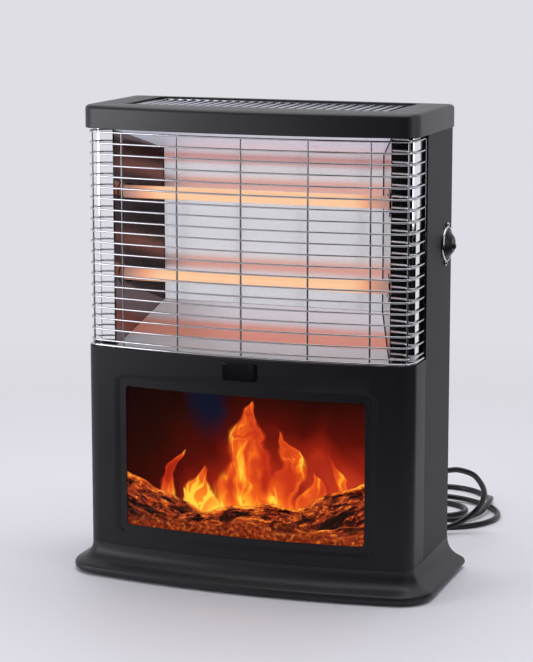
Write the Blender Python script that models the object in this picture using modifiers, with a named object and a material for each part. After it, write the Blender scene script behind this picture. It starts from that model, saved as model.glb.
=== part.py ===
"""Electric radiant heater with two quartz tubes, a wire guard and a flame-effect window.

Metres, +Z up. The heater faces -Y, and left and right are as seen from its front, so right is
+X. The origin is under the middle of the heater, on the floor. Every sub-part is one named
object.
"""
import bpy
import bmesh
from math import acos, atan2, cos, hypot, pi, radians, sin, sqrt
from mathutils import Matrix, Vector

# Driving dimensions of the whole heater
BODY_WIDTH = 0.400          # outer faces of the side panels
BASE_DEPTH = 0.2006         # front of the flared lip to the rear of the base
TOTAL_HEIGHT = 0.556        # floor to the top of the cap
CLEAR = 0.0003              # gap kept between touching pieces
RUN_CLEAR = 0.0001          # radial gap round a sliding or turning piece

# Bowed front outline
BOW_SAG = 0.0196            # how far the middle of the front stands before its corners
CORNER_RADIUS = 0.020
FLARE = 0.022               # how far the base lip stands outside the body
SIDE_FROM_FRONT = 0.0719    # front edge of the flat side panels, behind the front

# Sheet and wall thicknesses
SIDE_SHEET = 0.0010
REAR_SHEET = 0.0010
FASCIA_WALL = 0.0025
SHELF_SHEET = 0.0010
MIRROR_SHEET = 0.0006
SKIRT_WALL = 0.0025
CAP_WALL = 0.0019

# Base
FOOT_HEIGHT = 0.0020
FOOT_RADIUS = 0.0090
FOOT_INSET_X = 0.030
FOOT_INSET_Y = 0.030
SKIRT_TOP = 0.0360
SKIRT_FLOOR = 0.0025
FLARE_RADIUS = 0.0205
LIP_ROUND = 0.0035
SKIRT_RIM = 0.0020          # upright edge above the flare
POST_RADIUS = 0.0060
POST_INSET = 0.0020         # posts inside the edges of the light box they carry

# Cap and top grille
CAP_HEIGHT = 0.0265
CAP_LIP = 0.0022
CAP_EDGE_ROUND = 0.0050
VENT_SIDE_BORDER = 0.0380   # cap between the vent and the body's sides
VENT_FROM_FRONT = 0.0519
VENT_FROM_REAR = 0.0137
VENT_CORNER = 0.004
BAR_PITCH = 0.0114
BAR_WIDTH = 0.0042
BAR_HEIGHT = 0.0040
RAIL_WIDTH = 0.0050
RAIL_HEIGHT = 0.0050
RAIL_OVERHANG = 0.0040      # rails run past the vent at each end
BAR_DROP = 0.0004           # bars below the rails' tops

# Wire guard
WIRE_ROWS = 20
ROW_ABOVE_FRAME = 0.0060    # lowest row above the heavier bottom wire
GUARD_END_GAP = 0.0030      # wire ends in front of the side panels
GUARD_TOP_GAP = 0.00427     # highest row below the cap
WIRE_RADIUS = 0.0011
FRAME_WIRE_RADIUS = 0.0016
GUARD_INSET = 0.0026        # wire centres behind the body's outline
UPRIGHT_INSET = 0.0018      # uprights behind the rows
UPRIGHT_XS = (0.0, 0.079, 0.150)
GUARD_CORNER_ANGLE = 45.0   # where on the rounded corner its upright stands

# Lower fascia with its window
FASCIA_TOP = 0.2728
WINDOW_HALF_WIDTH = 0.1465
WINDOW_BOTTOM = 0.0625
WINDOW_TOP = 0.2310
WINDOW_CORNER = 0.006
POCKET_MARGIN = 0.0120      # width of the stepped border round the window
POCKET_DEPTH = 0.0010
POCKET_CORNER = 0.012
PANE_THICKNESS = 0.0015
SCREEN_THICKNESS = 0.0008
PANE_MARGIN = 0.0060
BADGE_WIDTH = 0.041
BADGE_HEIGHT = 0.0205
BADGE_THICKNESS = 0.0012
BADGE_CENTRE_Z = 0.2580
BADGE_CORNER = 0.003

# Flame light box
BOX_WALL = 0.0015
BOX_FROM_FRONT = 0.0203
BOX_DEPTH = 0.0480
BOX_MARGIN = 0.0105         # box outside the window opening
BOARD_WIDTH = 0.240
BOARD_DEPTH = 0.020
BOARD_THICKNESS = 0.0016
LED_COUNT = 7
LED_SIZE = 0.005
LED_HEIGHT = 0.0014

# Heating chamber
TUBE_FROM_FRONT = 0.0549
UPPER_TUBE_DROP = 0.0745    # below the chamber's top
LOWER_TUBE_RISE = 0.0837    # above the shelf
TUBE_RADIUS = 0.0075
TUBE_BORE_RADIUS = 0.0060
TUBE_SIDE_GAP = 0.0200      # tube ends inside the body's sides
ELEMENT_RADIUS = 0.0028
ELEMENT_INSET = 0.0140      # the coiled length ends inside the tube
ELEMENT_TAPER = 0.0020
LEAD_RADIUS = 0.0008
LEAD_REACH = 0.0120         # leads stand out of the tube
CERAMIC_RADIUS = 0.0090
CERAMIC_LENGTH = 0.0160
CERAMIC_CUP_DEPTH = 0.0080
BRACKET_INSET = 0.0035      # brackets inside the tube's ends
BRACKET_SHEET = 0.0010
BRACKET_HALF_DEPTH = 0.0170
CHAMBER_FROM_FRONT = 0.0349 # front edges of the end plates
CHAMBER_DEPTH = 0.0750      # to the face of the back reflector
CHAMBER_SIDE_GAP = 0.0320   # front edges of the end plates inside the body's sides
CHAMBER_TAPER = 0.0310      # how far each end plate slants inwards
CHAMBER_TOP_GAP = 0.0020    # below the cap
TOP_SLOPE_DROP = 0.0275
BOTTOM_SLOPE_RISE = 0.0462
PLATE_BELOW_BACK = 0.020    # end plates reach this far below the rear mirror
APRON_FROM_FRONT = 0.0193   # front edge of the bottom reflector's level strip
RING_RADIUS = 0.0165         # raised ring round each tube hole
RING_HEIGHT = 0.0010
MIRROR_END_GAP = 0.0012     # between the chamber's mirrors and its end plates
MIRROR_LAP = 0.0005         # between the top and bottom mirrors and the rear one
MIRROR_BEND_RADIUS = 0.0100
MIRROR_SIDE_GAP = 0.0050
MIRROR_FROM_FRONT = 0.0683
MIRROR_FLANGE_GAP = 0.0008  # flange in front of the end plates
CUTOUT_RADIUS = 0.0080
CUTOUT_HEIGHT = 0.0050
CUTOUT_CROWN = 0.0020
CUTOUT_X = -0.090
CUTOUT_BELOW_TUBE = 0.0130

# Selector on the side panel
KNOB_FROM_REAR = 0.0252
KNOB_BELOW_MIDDLE = 0.00965 # below the middle of the two tubes
BEZEL_RADIUS = 0.0208
BEZEL_BORE_RADIUS = 0.0188
BEZEL_HEIGHT = 0.0028
LUG_RADIUS = 0.0030
LUG_REACH = 0.0226
LUG_ANGLE = 8.0
LUG_HEIGHT = 0.0014
KNOB_RADIUS = 0.0181
KNOB_CROWN_RADIUS = 0.0085
KNOB_HEIGHT = 0.0100
NUB_RADIUS = 0.0028
NUB_OFFSET = 0.0040
NUB_HEIGHT = 0.0026
SHAFT_RADIUS = 0.0030
SHAFT_HOLE_GAP = 0.0015
SHAFT_INNER_X = 0.1850
SHAFT_IN_KNOB = 0.0070
SWITCH_SIZE = 0.0240
SWITCH_DEPTH = 0.0230
SCREW_RADIUS = 0.0014
SCREW_HEAD_RADIUS = 0.0027
SCREW_HEAD_HEIGHT = 0.0014
SCREW_LENGTH = 0.0045
LUG_SCREW_RADIUS = 0.0008
LUG_SCREW_HEAD_RADIUS = 0.0015

# Rear panel and side panel flanges
FLANGE_WIDTH = 0.0130
REAR_RECESS = 0.0018        # body's rear behind the cap's and the base's rear
PANEL_RECESS = 0.0005       # rear panel inside the side panels' rear edges
SHELF_RECESS = 0.0010       # shelf below the fascia's top edge
SLOT_COUNT = 13
SLOT_PITCH = 0.022
SLOT_WIDTH = 0.005
SLOT_HEIGHT = 0.045
LOWER_SLOTS_RISE = 0.0582   # above the shelf
UPPER_SLOTS_DROP = 0.1138   # below the panel's top
LOWER_SCREW_RISE = 0.0437   # above the panel's bottom
UPPER_SCREW_DROP = 0.0538   # below the panel's top

# Tip-over switch
PLUNGER_X = -0.120
PLUNGER_FROM_REAR = 0.0503
PLUNGER_RADIUS = 0.0040
PLUNGER_HEIGHT = 0.0140
COLLAR_BOTTOM = 0.0095
PLUNGER_COLLAR_RADIUS = 0.0055
PLUNGER_COLLAR_HEIGHT = 0.0020
TIP_SWITCH_SIZE = (0.030, 0.018, 0.020)
TIP_BORE_HEIGHT = 0.0125

# Mains entry
TERMINAL_SIZE = (0.040, 0.020, 0.018)
TERMINAL_X = 0.120
TERMINAL_FROM_REAR = 0.0223
GLAND_FROM_SIDE = 0.0400
GLAND_Z = 0.095
GLAND_FLANGE_RADIUS = 0.0090
GLAND_FLANGE_HEIGHT = 0.0025
GLAND_STEM_RADIUS = 0.0065
GLAND_STEM_LENGTH = 0.0080
GLAND_BOOT_LENGTH = 0.0340
GLAND_TIP_RADIUS = 0.0048
CORD_DIAMETER = 0.0070
CORD_GAP = 0.0018           # gap between crossing turns, before their steps round it off
HUMP_REACH = 0.0340         # half length of the rise over a crossing
CORD_STEP = 0.013           # step between the cord's points
CORD_FINE_STEP = 0.002      # step at which its heights are found and its gaps measured
WIRE_HOLE_RADIUS = 0.0080
HARNESS_RADIUS = 0.0012
HARNESS_INSET = 0.0020      # wires meet the leads inside their ends
HARNESS_HOLE_FROM_SIDE = 0.0350
WIRE_BEND = 0.0100          # straight length before a wire's first bend
WIRE_SPACING = 0.010        # between a wire's points
SUPPLY_BEND_DROP = 0.0700   # below the shelf, where the supply wire turns upright
SUPPLY_LEAN = 0.0150        # and how far it still leans there
SUPPLY_RISE = 0.0400
WIRE_SWING = 0.0270         # rear of the tubes, where their wires turn towards them

# Plug at the cord's far end
PLUG_BOOT_X = -0.095
PLUG_Y = 0.2980
PLUG_RADIUS = 0.0165
PLUG_BOOT_LENGTH = 0.022
PLUG_BODY_LENGTH = 0.040
PLUG_TIP_RADIUS = 0.0048
PIN_RADIUS = 0.0024
PIN_LENGTH = 0.019
PIN_SPACING = 0.019

# Places worked out from the driving dimensions
HALF = BODY_WIDTH / 2
REAR_Y = BASE_DEPTH / 2
BODY_FRONT_Y = -REAR_Y + FLARE
BODY_REAR_Y = REAR_Y - REAR_RECESS
BOW_RADIUS = (HALF ** 2 + BOW_SAG ** 2) / (2 * BOW_SAG)
BOW_CENTRE_Y = BODY_FRONT_Y + BOW_RADIUS
CORNER_X = HALF - CORNER_RADIUS
CORNER_Y = BOW_CENTRE_Y - sqrt((BOW_RADIUS - CORNER_RADIUS) ** 2 - CORNER_X ** 2)
CORNER_START = atan2(CORNER_Y - BOW_CENTRE_Y, CORNER_X)
SIDE_FRONT_Y = BODY_FRONT_Y + SIDE_FROM_FRONT
CAP_BOTTOM = TOTAL_HEIGHT - CAP_HEIGHT
VENT_HALF_WIDTH = HALF - VENT_SIDE_BORDER
VENT_FRONT_Y = BODY_FRONT_Y + VENT_FROM_FRONT
VENT_REAR_Y = REAR_Y - VENT_FROM_REAR
PANEL_TOP = TOTAL_HEIGHT - CAP_WALL - CLEAR
BASE_BOTTOM = FOOT_HEIGHT
FLOOR_TOP = BASE_BOTTOM + SKIRT_FLOOR
PANEL_BOTTOM = SKIRT_TOP + CLEAR
SHELF_TOP = FASCIA_TOP - SHELF_RECESS
SHELF_BOTTOM = SHELF_TOP - SHELF_SHEET
FRAME_WIRE_Z = FASCIA_TOP + CLEAR + FRAME_WIRE_RADIUS
LAST_ROW_Z = FRAME_WIRE_Z + ROW_ABOVE_FRAME
WIRE_PITCH = (CAP_BOTTOM - GUARD_TOP_GAP - LAST_ROW_Z) / (WIRE_ROWS - 1)
BOX_FRONT_Y = BODY_FRONT_Y + BOX_FROM_FRONT
BOX_REAR_Y = BOX_FRONT_Y + BOX_DEPTH
CHAMBER_FRONT_Y = BODY_FRONT_Y + CHAMBER_FROM_FRONT
CHAMBER_REAR_Y = CHAMBER_FRONT_Y + CHAMBER_DEPTH
CHAMBER_FRONT_HALF = HALF - CHAMBER_SIDE_GAP
CHAMBER_REAR_HALF = CHAMBER_FRONT_HALF - CHAMBER_TAPER
CHAMBER_TOP_Z = CAP_BOTTOM - CHAMBER_TOP_GAP
BACK_TOP_Z = CHAMBER_TOP_Z - TOP_SLOPE_DROP
BACK_BOTTOM_Z = SHELF_TOP + BOTTOM_SLOPE_RISE
APRON_FRONT_Y = BODY_FRONT_Y + APRON_FROM_FRONT
TUBE_Y = BODY_FRONT_Y + TUBE_FROM_FRONT
UPPER_TUBE_Z = CHAMBER_TOP_Z - UPPER_TUBE_DROP
LOWER_TUBE_Z = SHELF_TOP + LOWER_TUBE_RISE
TUBE_HALF_LENGTH = HALF - TUBE_SIDE_GAP
ELEMENT_HALF_LENGTH = TUBE_HALF_LENGTH - ELEMENT_INSET
LEAD_END_X = TUBE_HALF_LENGTH + LEAD_REACH
BRACKET_X = TUBE_HALF_LENGTH - BRACKET_INSET
MIRROR_SIDE_X = HALF - MIRROR_SIDE_GAP
MIRROR_REAR_Y = BODY_FRONT_Y + MIRROR_FROM_FRONT
MIRROR_FLANGE_Y = CHAMBER_FRONT_Y - MIRROR_FLANGE_GAP
CUTOUT_Z = UPPER_TUBE_Z - CUTOUT_BELOW_TUBE
KNOB_Y = REAR_Y - KNOB_FROM_REAR
KNOB_Z = (UPPER_TUBE_Z + LOWER_TUBE_Z) / 2 - KNOB_BELOW_MIDDLE
SLOT_ROWS_Z = (SHELF_TOP + LOWER_SLOTS_RISE, PANEL_TOP - UPPER_SLOTS_DROP)
REAR_SCREW_ZS = (PANEL_BOTTOM + LOWER_SCREW_RISE, PANEL_TOP - UPPER_SCREW_DROP)
PLUNGER_Y = REAR_Y - PLUNGER_FROM_REAR
TERMINAL_Y = REAR_Y - TERMINAL_FROM_REAR
GLAND_X = HALF - GLAND_FROM_SIDE
HARNESS_X = LEAD_END_X - HARNESS_INSET
HARNESS_HOLE_X = HALF - HARNESS_HOLE_FROM_SIDE
REAR_PANEL_BACK = BODY_REAR_Y - PANEL_RECESS
REAR_PANEL_FRONT = REAR_PANEL_BACK - REAR_SHEET
FLANGE_BACK = REAR_PANEL_FRONT - CLEAR
FLANGE_FRONT = FLANGE_BACK - SIDE_SHEET
SIDE_INNER = HALF - SIDE_SHEET
BOX_TOP = WINDOW_TOP + BOX_MARGIN
BOX_BOTTOM = WINDOW_BOTTOM - BOX_MARGIN
BOX_HALF = WINDOW_HALF_WIDTH + BOX_MARGIN
KNOB_FACE_X = HALF + CLEAR
END_SLOPE = (CHAMBER_FRONT_HALF - CHAMBER_REAR_HALF) / (CHAMBER_REAR_Y - CHAMBER_FRONT_Y)
END_ANGLE = atan2(CHAMBER_REAR_Y - CHAMBER_FRONT_Y, CHAMBER_FRONT_HALF - CHAMBER_REAR_HALF)

for old in list(bpy.data.objects):
    bpy.data.objects.remove(old, do_unlink=True)

parts = bpy.data.collections.new("electric_heater")
cutters = bpy.data.collections.new("cutters")
bpy.context.scene.collection.children.link(parts)
bpy.context.scene.collection.children.link(cutters)


def material(name, colour, roughness, metallic=0.0, alpha=1.0, glow=0.0):
    """A Principled material with the piece's colour, roughness and metallic value."""
    made = bpy.data.materials.new(name)
    made.use_nodes = True
    shader = made.node_tree.nodes["Principled BSDF"]
    shader.inputs["Base Color"].default_value = (*colour, 1.0)
    shader.inputs["Roughness"].default_value = roughness
    shader.inputs["Metallic"].default_value = metallic
    shader.inputs["Alpha"].default_value = alpha
    shader.inputs["Emission Color"].default_value = (*colour, 1.0)
    shader.inputs["Emission Strength"].default_value = glow
    return made


def keep(obj, paint):
    """Put a finished object in the heater's collection with its own material."""
    for group in list(obj.users_collection):
        group.objects.unlink(obj)
    parts.objects.link(obj)
    look = material(obj.name, *paint)
    obj.data.materials.clear()
    obj.data.materials.append(look)
    return obj


def cutter(obj):
    """Hide an object that only shapes another one."""
    for group in list(obj.users_collection):
        group.objects.unlink(obj)
    cutters.objects.link(obj)
    obj.hide_render = True
    obj.display_type = "WIRE"
    return obj


def from_bmesh(name, work):
    """Turn a finished bmesh into an object."""
    bmesh.ops.recalc_face_normals(work, faces=work.faces)
    mesh = bpy.data.meshes.new(name)
    work.to_mesh(mesh)
    work.free()
    obj = bpy.data.objects.new(name, mesh)
    bpy.context.scene.collection.objects.link(obj)
    return obj


def smooth(obj, angle=30.0):
    obj.data.shade_smooth()
    obj.data.set_sharp_from_angle(angle=radians(angle))
    return obj


def welded(curve_obj):
    """The mesh of a curve object, with its caps joined to its sides."""
    bpy.context.view_layer.update()
    graph = bpy.context.evaluated_depsgraph_get()
    mesh = bpy.data.meshes.new_from_object(curve_obj.evaluated_get(graph))
    work = bmesh.new()
    work.from_mesh(mesh)
    bmesh.ops.remove_doubles(work, verts=work.verts, dist=0.00001)
    bmesh.ops.recalc_face_normals(work, faces=work.faces)
    work.to_mesh(mesh)
    work.free()
    name = curve_obj.name
    place = curve_obj.matrix_world.copy()
    bpy.data.objects.remove(curve_obj, do_unlink=True)
    obj = bpy.data.objects.new(name, mesh)
    bpy.context.scene.collection.objects.link(obj)
    obj.matrix_world = place
    return obj


def block(name, low, high):
    """A box between two corners."""
    work = bmesh.new()
    bmesh.ops.create_cube(work, size=1.0)
    size = [high[i] - low[i] for i in range(3)]
    centre = [(high[i] + low[i]) / 2 for i in range(3)]
    bmesh.ops.scale(work, vec=size, verts=work.verts)
    bmesh.ops.translate(work, vec=centre, verts=work.verts)
    return from_bmesh(name, work)


def rod(name, start, end, radius, sides=24):
    """A round bar between two points."""
    start, end = Vector(start), Vector(end)
    work = bmesh.new()
    bmesh.ops.create_cone(work, cap_ends=True, segments=sides, radius1=radius, radius2=radius,
                          depth=(end - start).length)
    turn = (end - start).to_track_quat("Z", "Y").to_matrix().to_4x4()
    bmesh.ops.transform(work, matrix=Matrix.Translation((start + end) / 2) @ turn, verts=work.verts)
    return smooth(from_bmesh(name, work))


def turned(name, profile, start, direction, steps=24):
    """A turned shape: (radius, height) points spun about a line from start along direction."""
    work = bmesh.new()
    verts = [work.verts.new((radius, 0.0, height)) for radius, height in profile]
    edges = [work.edges.new((verts[i], verts[(i + 1) % len(verts)])) for i in range(len(verts))]
    bmesh.ops.spin(work, geom=verts + edges, cent=(0, 0, 0), axis=(0, 0, 1), angle=2 * pi,
                   steps=steps, use_merge=True)
    bmesh.ops.remove_doubles(work, verts=work.verts, dist=0.000002)
    axis_edges = [edge for edge in work.edges if not edge.link_faces]
    bmesh.ops.delete(work, geom=axis_edges, context="EDGES")
    turn = Vector(direction).to_track_quat("Z", "Y").to_matrix().to_4x4()
    bmesh.ops.transform(work, matrix=Matrix.Translation(start) @ turn, verts=work.verts)
    return smooth(from_bmesh(name, work))


def flat_outline(name, outlines, thickness, place=None):
    """A plate from closed outlines; an outline inside another one is a hole."""
    curve = bpy.data.curves.new(name, "CURVE")
    curve.dimensions = "2D"
    curve.fill_mode = "BOTH"
    curve.extrude = thickness / 2
    for outline in outlines:
        spline = curve.splines.new("POLY")
        spline.points.add(len(outline) - 1)
        for point, (x, y) in zip(spline.points, outline):
            point.co = (x, y, 0.0, 1.0)
        spline.use_cyclic_u = True
    obj = bpy.data.objects.new(name, curve)
    bpy.context.scene.collection.objects.link(obj)
    obj.matrix_world = place if place else Matrix.Identity(4)
    return welded(obj)


def upright(name, outlines, bottom, top):
    """A plan outline pulled up from one height to another."""
    return flat_outline(name, outlines, top - bottom, Matrix.Translation((0, 0, (top + bottom) / 2)))


def tube(name, points, radius, resolution):
    """A round wire or cord through points, with closed ends."""
    curve = bpy.data.curves.new(name, "CURVE")
    curve.dimensions = "3D"
    curve.bevel_depth = radius
    curve.bevel_resolution = resolution
    curve.render_resolution_u = 0
    curve.use_fill_caps = True
    spline = curve.splines.new("POLY")
    spline.points.add(len(points) - 1)
    for point, place in zip(spline.points, points):
        point.co = (*place, 1.0)
    obj = bpy.data.objects.new(name, curve)
    bpy.context.scene.collection.objects.link(obj)
    return obj


def join(name, objects):
    """One mesh object from several, still as separate bodies."""
    work = bmesh.new()
    for obj in objects:
        mesh = obj.data.copy()
        mesh.transform(obj.matrix_world)
        work.from_mesh(mesh)
        bpy.data.meshes.remove(mesh)
        bpy.data.objects.remove(obj, do_unlink=True)
    return from_bmesh(name, work)


def combine(target, other, operation):
    """A Boolean modifier on target with other, which becomes a hidden cutter."""
    cutter(other)
    step = target.modifiers.new(other.name, "BOOLEAN")
    step.operation = operation
    step.object = other
    step.solver = "EXACT"
    return target


def circle(radius, centre=(0.0, 0.0), count=32, stretch=1.0):
    """Points round a circle, or an ellipse when stretched along its first axis."""
    return [(centre[0] + stretch * radius * cos(2 * pi * i / count),
             centre[1] + radius * sin(2 * pi * i / count)) for i in range(count)]


def bow_y(x, inset):
    """Y of the bowed front, moved inwards, at a given X."""
    return BOW_CENTRE_Y - sqrt((BOW_RADIUS - inset) ** 2 - x ** 2)


def front_path(inset, back_y, bow_steps=12, corner_steps=5):
    """The bowed front in plan, from the left side round both corners to the right side.

    A positive inset is inside the body, a negative one outside it. Closed, it is the whole plan.
    """
    radius = CORNER_RADIUS - inset
    right = []
    for i in range(corner_steps + 1):
        angle = CORNER_START * (1 - i / corner_steps)
        right.append((CORNER_X + radius * cos(angle), CORNER_Y + radius * sin(angle)))
    bow = []
    bow_angle = acos(CORNER_X / (BOW_RADIUS - CORNER_RADIUS))
    for i in range(1, bow_steps):
        angle = -pi + bow_angle + (pi - 2 * bow_angle) * i / bow_steps
        bow.append(((BOW_RADIUS - inset) * cos(angle),
                    BOW_CENTRE_Y + (BOW_RADIUS - inset) * sin(angle)))
    left = [(-x, y) for x, y in reversed(right)]
    return [(-HALF + inset, back_y)] + left + bow + right + [(HALF - inset, back_y)]


def loft(name, sections):
    """A solid through plan outlines of equal count, each at its height."""
    work = bmesh.new()
    rings = [[work.verts.new((x, y, z)) for x, y in outline] for outline, z in sections]
    for lower, upper in zip(rings, rings[1:]):
        for i in range(len(lower)):
            j = (i + 1) % len(lower)
            work.faces.new((lower[i], lower[j], upper[j], upper[i]))
    work.faces.new(list(reversed(rings[0])))
    work.faces.new(rings[-1])
    return from_bmesh(name, work)


def rounded_block(name, low, high, radius, axis, steps=4):
    """A box whose four edges along one axis are rounded."""
    obj = block(name, low, high)
    work = bmesh.new()
    work.from_mesh(obj.data)
    edges = [edge for edge in work.edges
             if abs((edge.verts[0].co - edge.verts[1].co).normalized()[axis]) > 0.9]
    bmesh.ops.bevel(work, geom=edges, offset=radius, segments=steps, profile=0.5, affect="EDGES")
    work.to_mesh(obj.data)
    work.free()
    return obj


def bowed_block(name, half_width, bottom, top, outer_inset, inner_inset, radius, steps=4):
    """A slab that follows the bowed front, with rounded corners as seen from the front."""
    count = 14
    xs = [-half_width + 2 * half_width * i / count for i in range(count + 1)]
    outer = [(x, bow_y(x, outer_inset)) for x in xs]
    inner = [(x, bow_y(x, inner_inset)) for x in reversed(xs)]
    slab = upright(name, [outer + inner], bottom, top)
    low = (-half_width, bow_y(0.0, outer_inset) - 0.01, bottom)
    high = (half_width, bow_y(half_width, inner_inset) + 0.01, top)
    return combine(slab, rounded_block(name + "_edge", low, high, radius, 1, steps), "INTERSECT")


BLACK = ((0.020, 0.020, 0.022), 0.45)
DARK_GREY = ((0.045, 0.045, 0.050), 0.50)
CHROME = ((0.80, 0.80, 0.82), 0.12, 1.0)
SATIN = ((0.72, 0.73, 0.75), 0.30, 1.0)
STEEL = ((0.55, 0.55, 0.57), 0.35, 1.0)
CERAMIC = ((0.75, 0.72, 0.66), 0.60)
RUBBER = ((0.015, 0.015, 0.015), 0.80)


def base_skirt():
    """Moulded base: a flared lip round the front and sides, a floor and four posts."""
    sections = [(front_path(-FLARE + LIP_ROUND * 0.7, REAR_Y), BASE_BOTTOM)]
    for angle in (30, 60, 90):
        out = FLARE - LIP_ROUND + LIP_ROUND * sin(radians(angle))
        rise = BASE_BOTTOM + LIP_ROUND * (1 - cos(radians(angle)))
        sections.append((front_path(-out, REAR_Y), rise))
    flare_top = SKIRT_TOP - SKIRT_RIM
    lip_top = flare_top - FLARE_RADIUS
    for angle in (0, 45):
        out = FLARE - LIP_ROUND + LIP_ROUND * cos(radians(angle))
        rise = lip_top - LIP_ROUND + LIP_ROUND * sin(radians(angle))
        sections.append((front_path(-out, REAR_Y), rise))
    for i in range(1, 7):
        angle = radians(90 * (1 - i / 6))
        out = FLARE_RADIUS * (1 - cos(angle))
        rise = flare_top - FLARE_RADIUS * sin(angle)
        sections.append((front_path(-out, REAR_Y), rise))
    sections.append((front_path(0.0, REAR_Y), SKIRT_TOP))
    skirt = loft("base_skirt", sections)
    hollow = loft("base_hollow", [(front_path(SKIRT_WALL, REAR_Y - SKIRT_WALL), FLOOR_TOP),
                                  (front_path(SKIRT_WALL, REAR_Y - SKIRT_WALL), SKIRT_TOP + 0.01)])
    combine(skirt, hollow, "DIFFERENCE")
    posts = []
    for x in (-1, 1):
        for y in (BOX_FRONT_Y + POST_RADIUS + 2 * POST_INSET, BOX_REAR_Y - POST_RADIUS - POST_INSET):
            place = x * (BOX_HALF - 2 * POST_RADIUS)
            posts.append(rod("post", (place, y, FLOOR_TOP - 0.001),
                             (place, y, BOX_BOTTOM - CLEAR), POST_RADIUS, 16))
    combine(skirt, join("box_posts", posts), "UNION")
    hole = rod("plunger_hole", (PLUNGER_X, PLUNGER_Y, 0.0), (PLUNGER_X, PLUNGER_Y, FLOOR_TOP + 0.001),
               PLUNGER_RADIUS + RUN_CLEAR)
    combine(skirt, hole, "DIFFERENCE")
    keep(smooth(skirt), BLACK)


def feet():
    """Four rubber feet under the base, near its corners."""
    for side, x in (("left", -1), ("right", 1)):
        for end, y in (("front", -REAR_Y + FLARE + FOOT_INSET_Y), ("rear", REAR_Y - FOOT_INSET_Y)):
            place = (x * (HALF - FOOT_INSET_X), y)
            foot = turned("foot_%s_%s" % (end, side),
                          [(0.0, 0.0), (FOOT_RADIUS - 0.0005, 0.0), (FOOT_RADIUS, 0.0005),
                           (FOOT_RADIUS, FOOT_HEIGHT - CLEAR), (0.0, FOOT_HEIGHT - CLEAR)],
                          (*place, 0.0), (0, 0, 1), 16)
            keep(foot, RUBBER)


def side_panels():
    """Flat steel sides, each folded inwards at the rear to take the rear panel's screws."""
    for side, sign in (("left", -1), ("right", 1)):
        plan = [(HALF, SIDE_FRONT_Y), (HALF, BODY_REAR_Y), (SIDE_INNER, BODY_REAR_Y),
                (SIDE_INNER, FLANGE_BACK), (HALF - FLANGE_WIDTH, FLANGE_BACK),
                (HALF - FLANGE_WIDTH, FLANGE_FRONT), (SIDE_INNER, FLANGE_FRONT),
                (SIDE_INNER, SIDE_FRONT_Y)]
        panel = upright(side + "_side_panel", [[(sign * x, y) for x, y in plan]],
                        PANEL_BOTTOM, PANEL_TOP)
        for z in REAR_SCREW_ZS:
            x = sign * (HALF - FLANGE_WIDTH / 2)
            combine(panel, rod("flange_hole", (x, FLANGE_FRONT - 0.002, z),
                               (x, FLANGE_BACK + 0.0002, z), SCREW_RADIUS + CLEAR, 12), "DIFFERENCE")
        if sign > 0:
            hole = rod("shaft_hole", (SIDE_INNER - 0.002, KNOB_Y, KNOB_Z),
                       (HALF + 0.002, KNOB_Y, KNOB_Z), SHAFT_RADIUS + SHAFT_HOLE_GAP, 20)
            combine(panel, hole, "DIFFERENCE")
            for y, z in lug_places():
                combine(panel, rod("lug_hole", (SIDE_INNER - 0.002, y, z), (HALF + 0.002, y, z),
                                   LUG_SCREW_RADIUS + CLEAR, 12), "DIFFERENCE")
        keep(panel, DARK_GREY)


def rear_panel():
    """Slotted steel back, set between the side panels."""
    half = SIDE_INNER - CLEAR
    panel = block("rear_panel", (-half, REAR_PANEL_FRONT, PANEL_BOTTOM),
                  (half, REAR_PANEL_BACK, PANEL_TOP))
    slots = []
    for z in SLOT_ROWS_Z:
        for i in range(SLOT_COUNT):
            x = (i - (SLOT_COUNT - 1) / 2) * SLOT_PITCH
            slots.append(block("slot", (x - SLOT_WIDTH / 2, REAR_PANEL_FRONT - 0.01, z),
                               (x + SLOT_WIDTH / 2, REAR_PANEL_BACK + 0.01, z + SLOT_HEIGHT)))
    combine(panel, join("rear_slots", slots), "DIFFERENCE")
    combine(panel, rod("gland_hole", (GLAND_X, REAR_PANEL_FRONT - 0.01, GLAND_Z),
                       (GLAND_X, REAR_PANEL_BACK + 0.01, GLAND_Z), GLAND_STEM_RADIUS + CLEAR), "DIFFERENCE")
    for sign in (-1, 1):
        for z in REAR_SCREW_ZS:
            x = sign * (HALF - FLANGE_WIDTH / 2)
            combine(panel, rod("rear_screw_hole", (x, REAR_PANEL_FRONT - 0.0001, z),
                               (x, REAR_PANEL_BACK + 0.001, z), SCREW_RADIUS + CLEAR, 12), "DIFFERENCE")
    keep(panel, DARK_GREY)


def screw(name, seat, direction, radius, head_radius):
    """A pan-head screw; seat is the middle of the head's underside."""
    head = SCREW_HEAD_HEIGHT
    made = turned(name, [(0.0, -SCREW_LENGTH), (radius, -SCREW_LENGTH), (radius, 0.0),
                         (head_radius, 0.0), (head_radius, head * 0.5),
                         (head_radius * 0.7, head), (0.0, head)], seat, direction, 10)
    keep(made, STEEL)


def rear_screws():
    for side, sign in (("left", -1), ("right", 1)):
        for end, z in zip(("lower", "upper"), REAR_SCREW_ZS):
            seat = (sign * (HALF - FLANGE_WIDTH / 2), REAR_PANEL_BACK + CLEAR, z)
            screw("rear_screw_%s_%s" % (end, side), seat, (0, 1, 0), SCREW_RADIUS, SCREW_HEAD_RADIUS)


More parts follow.
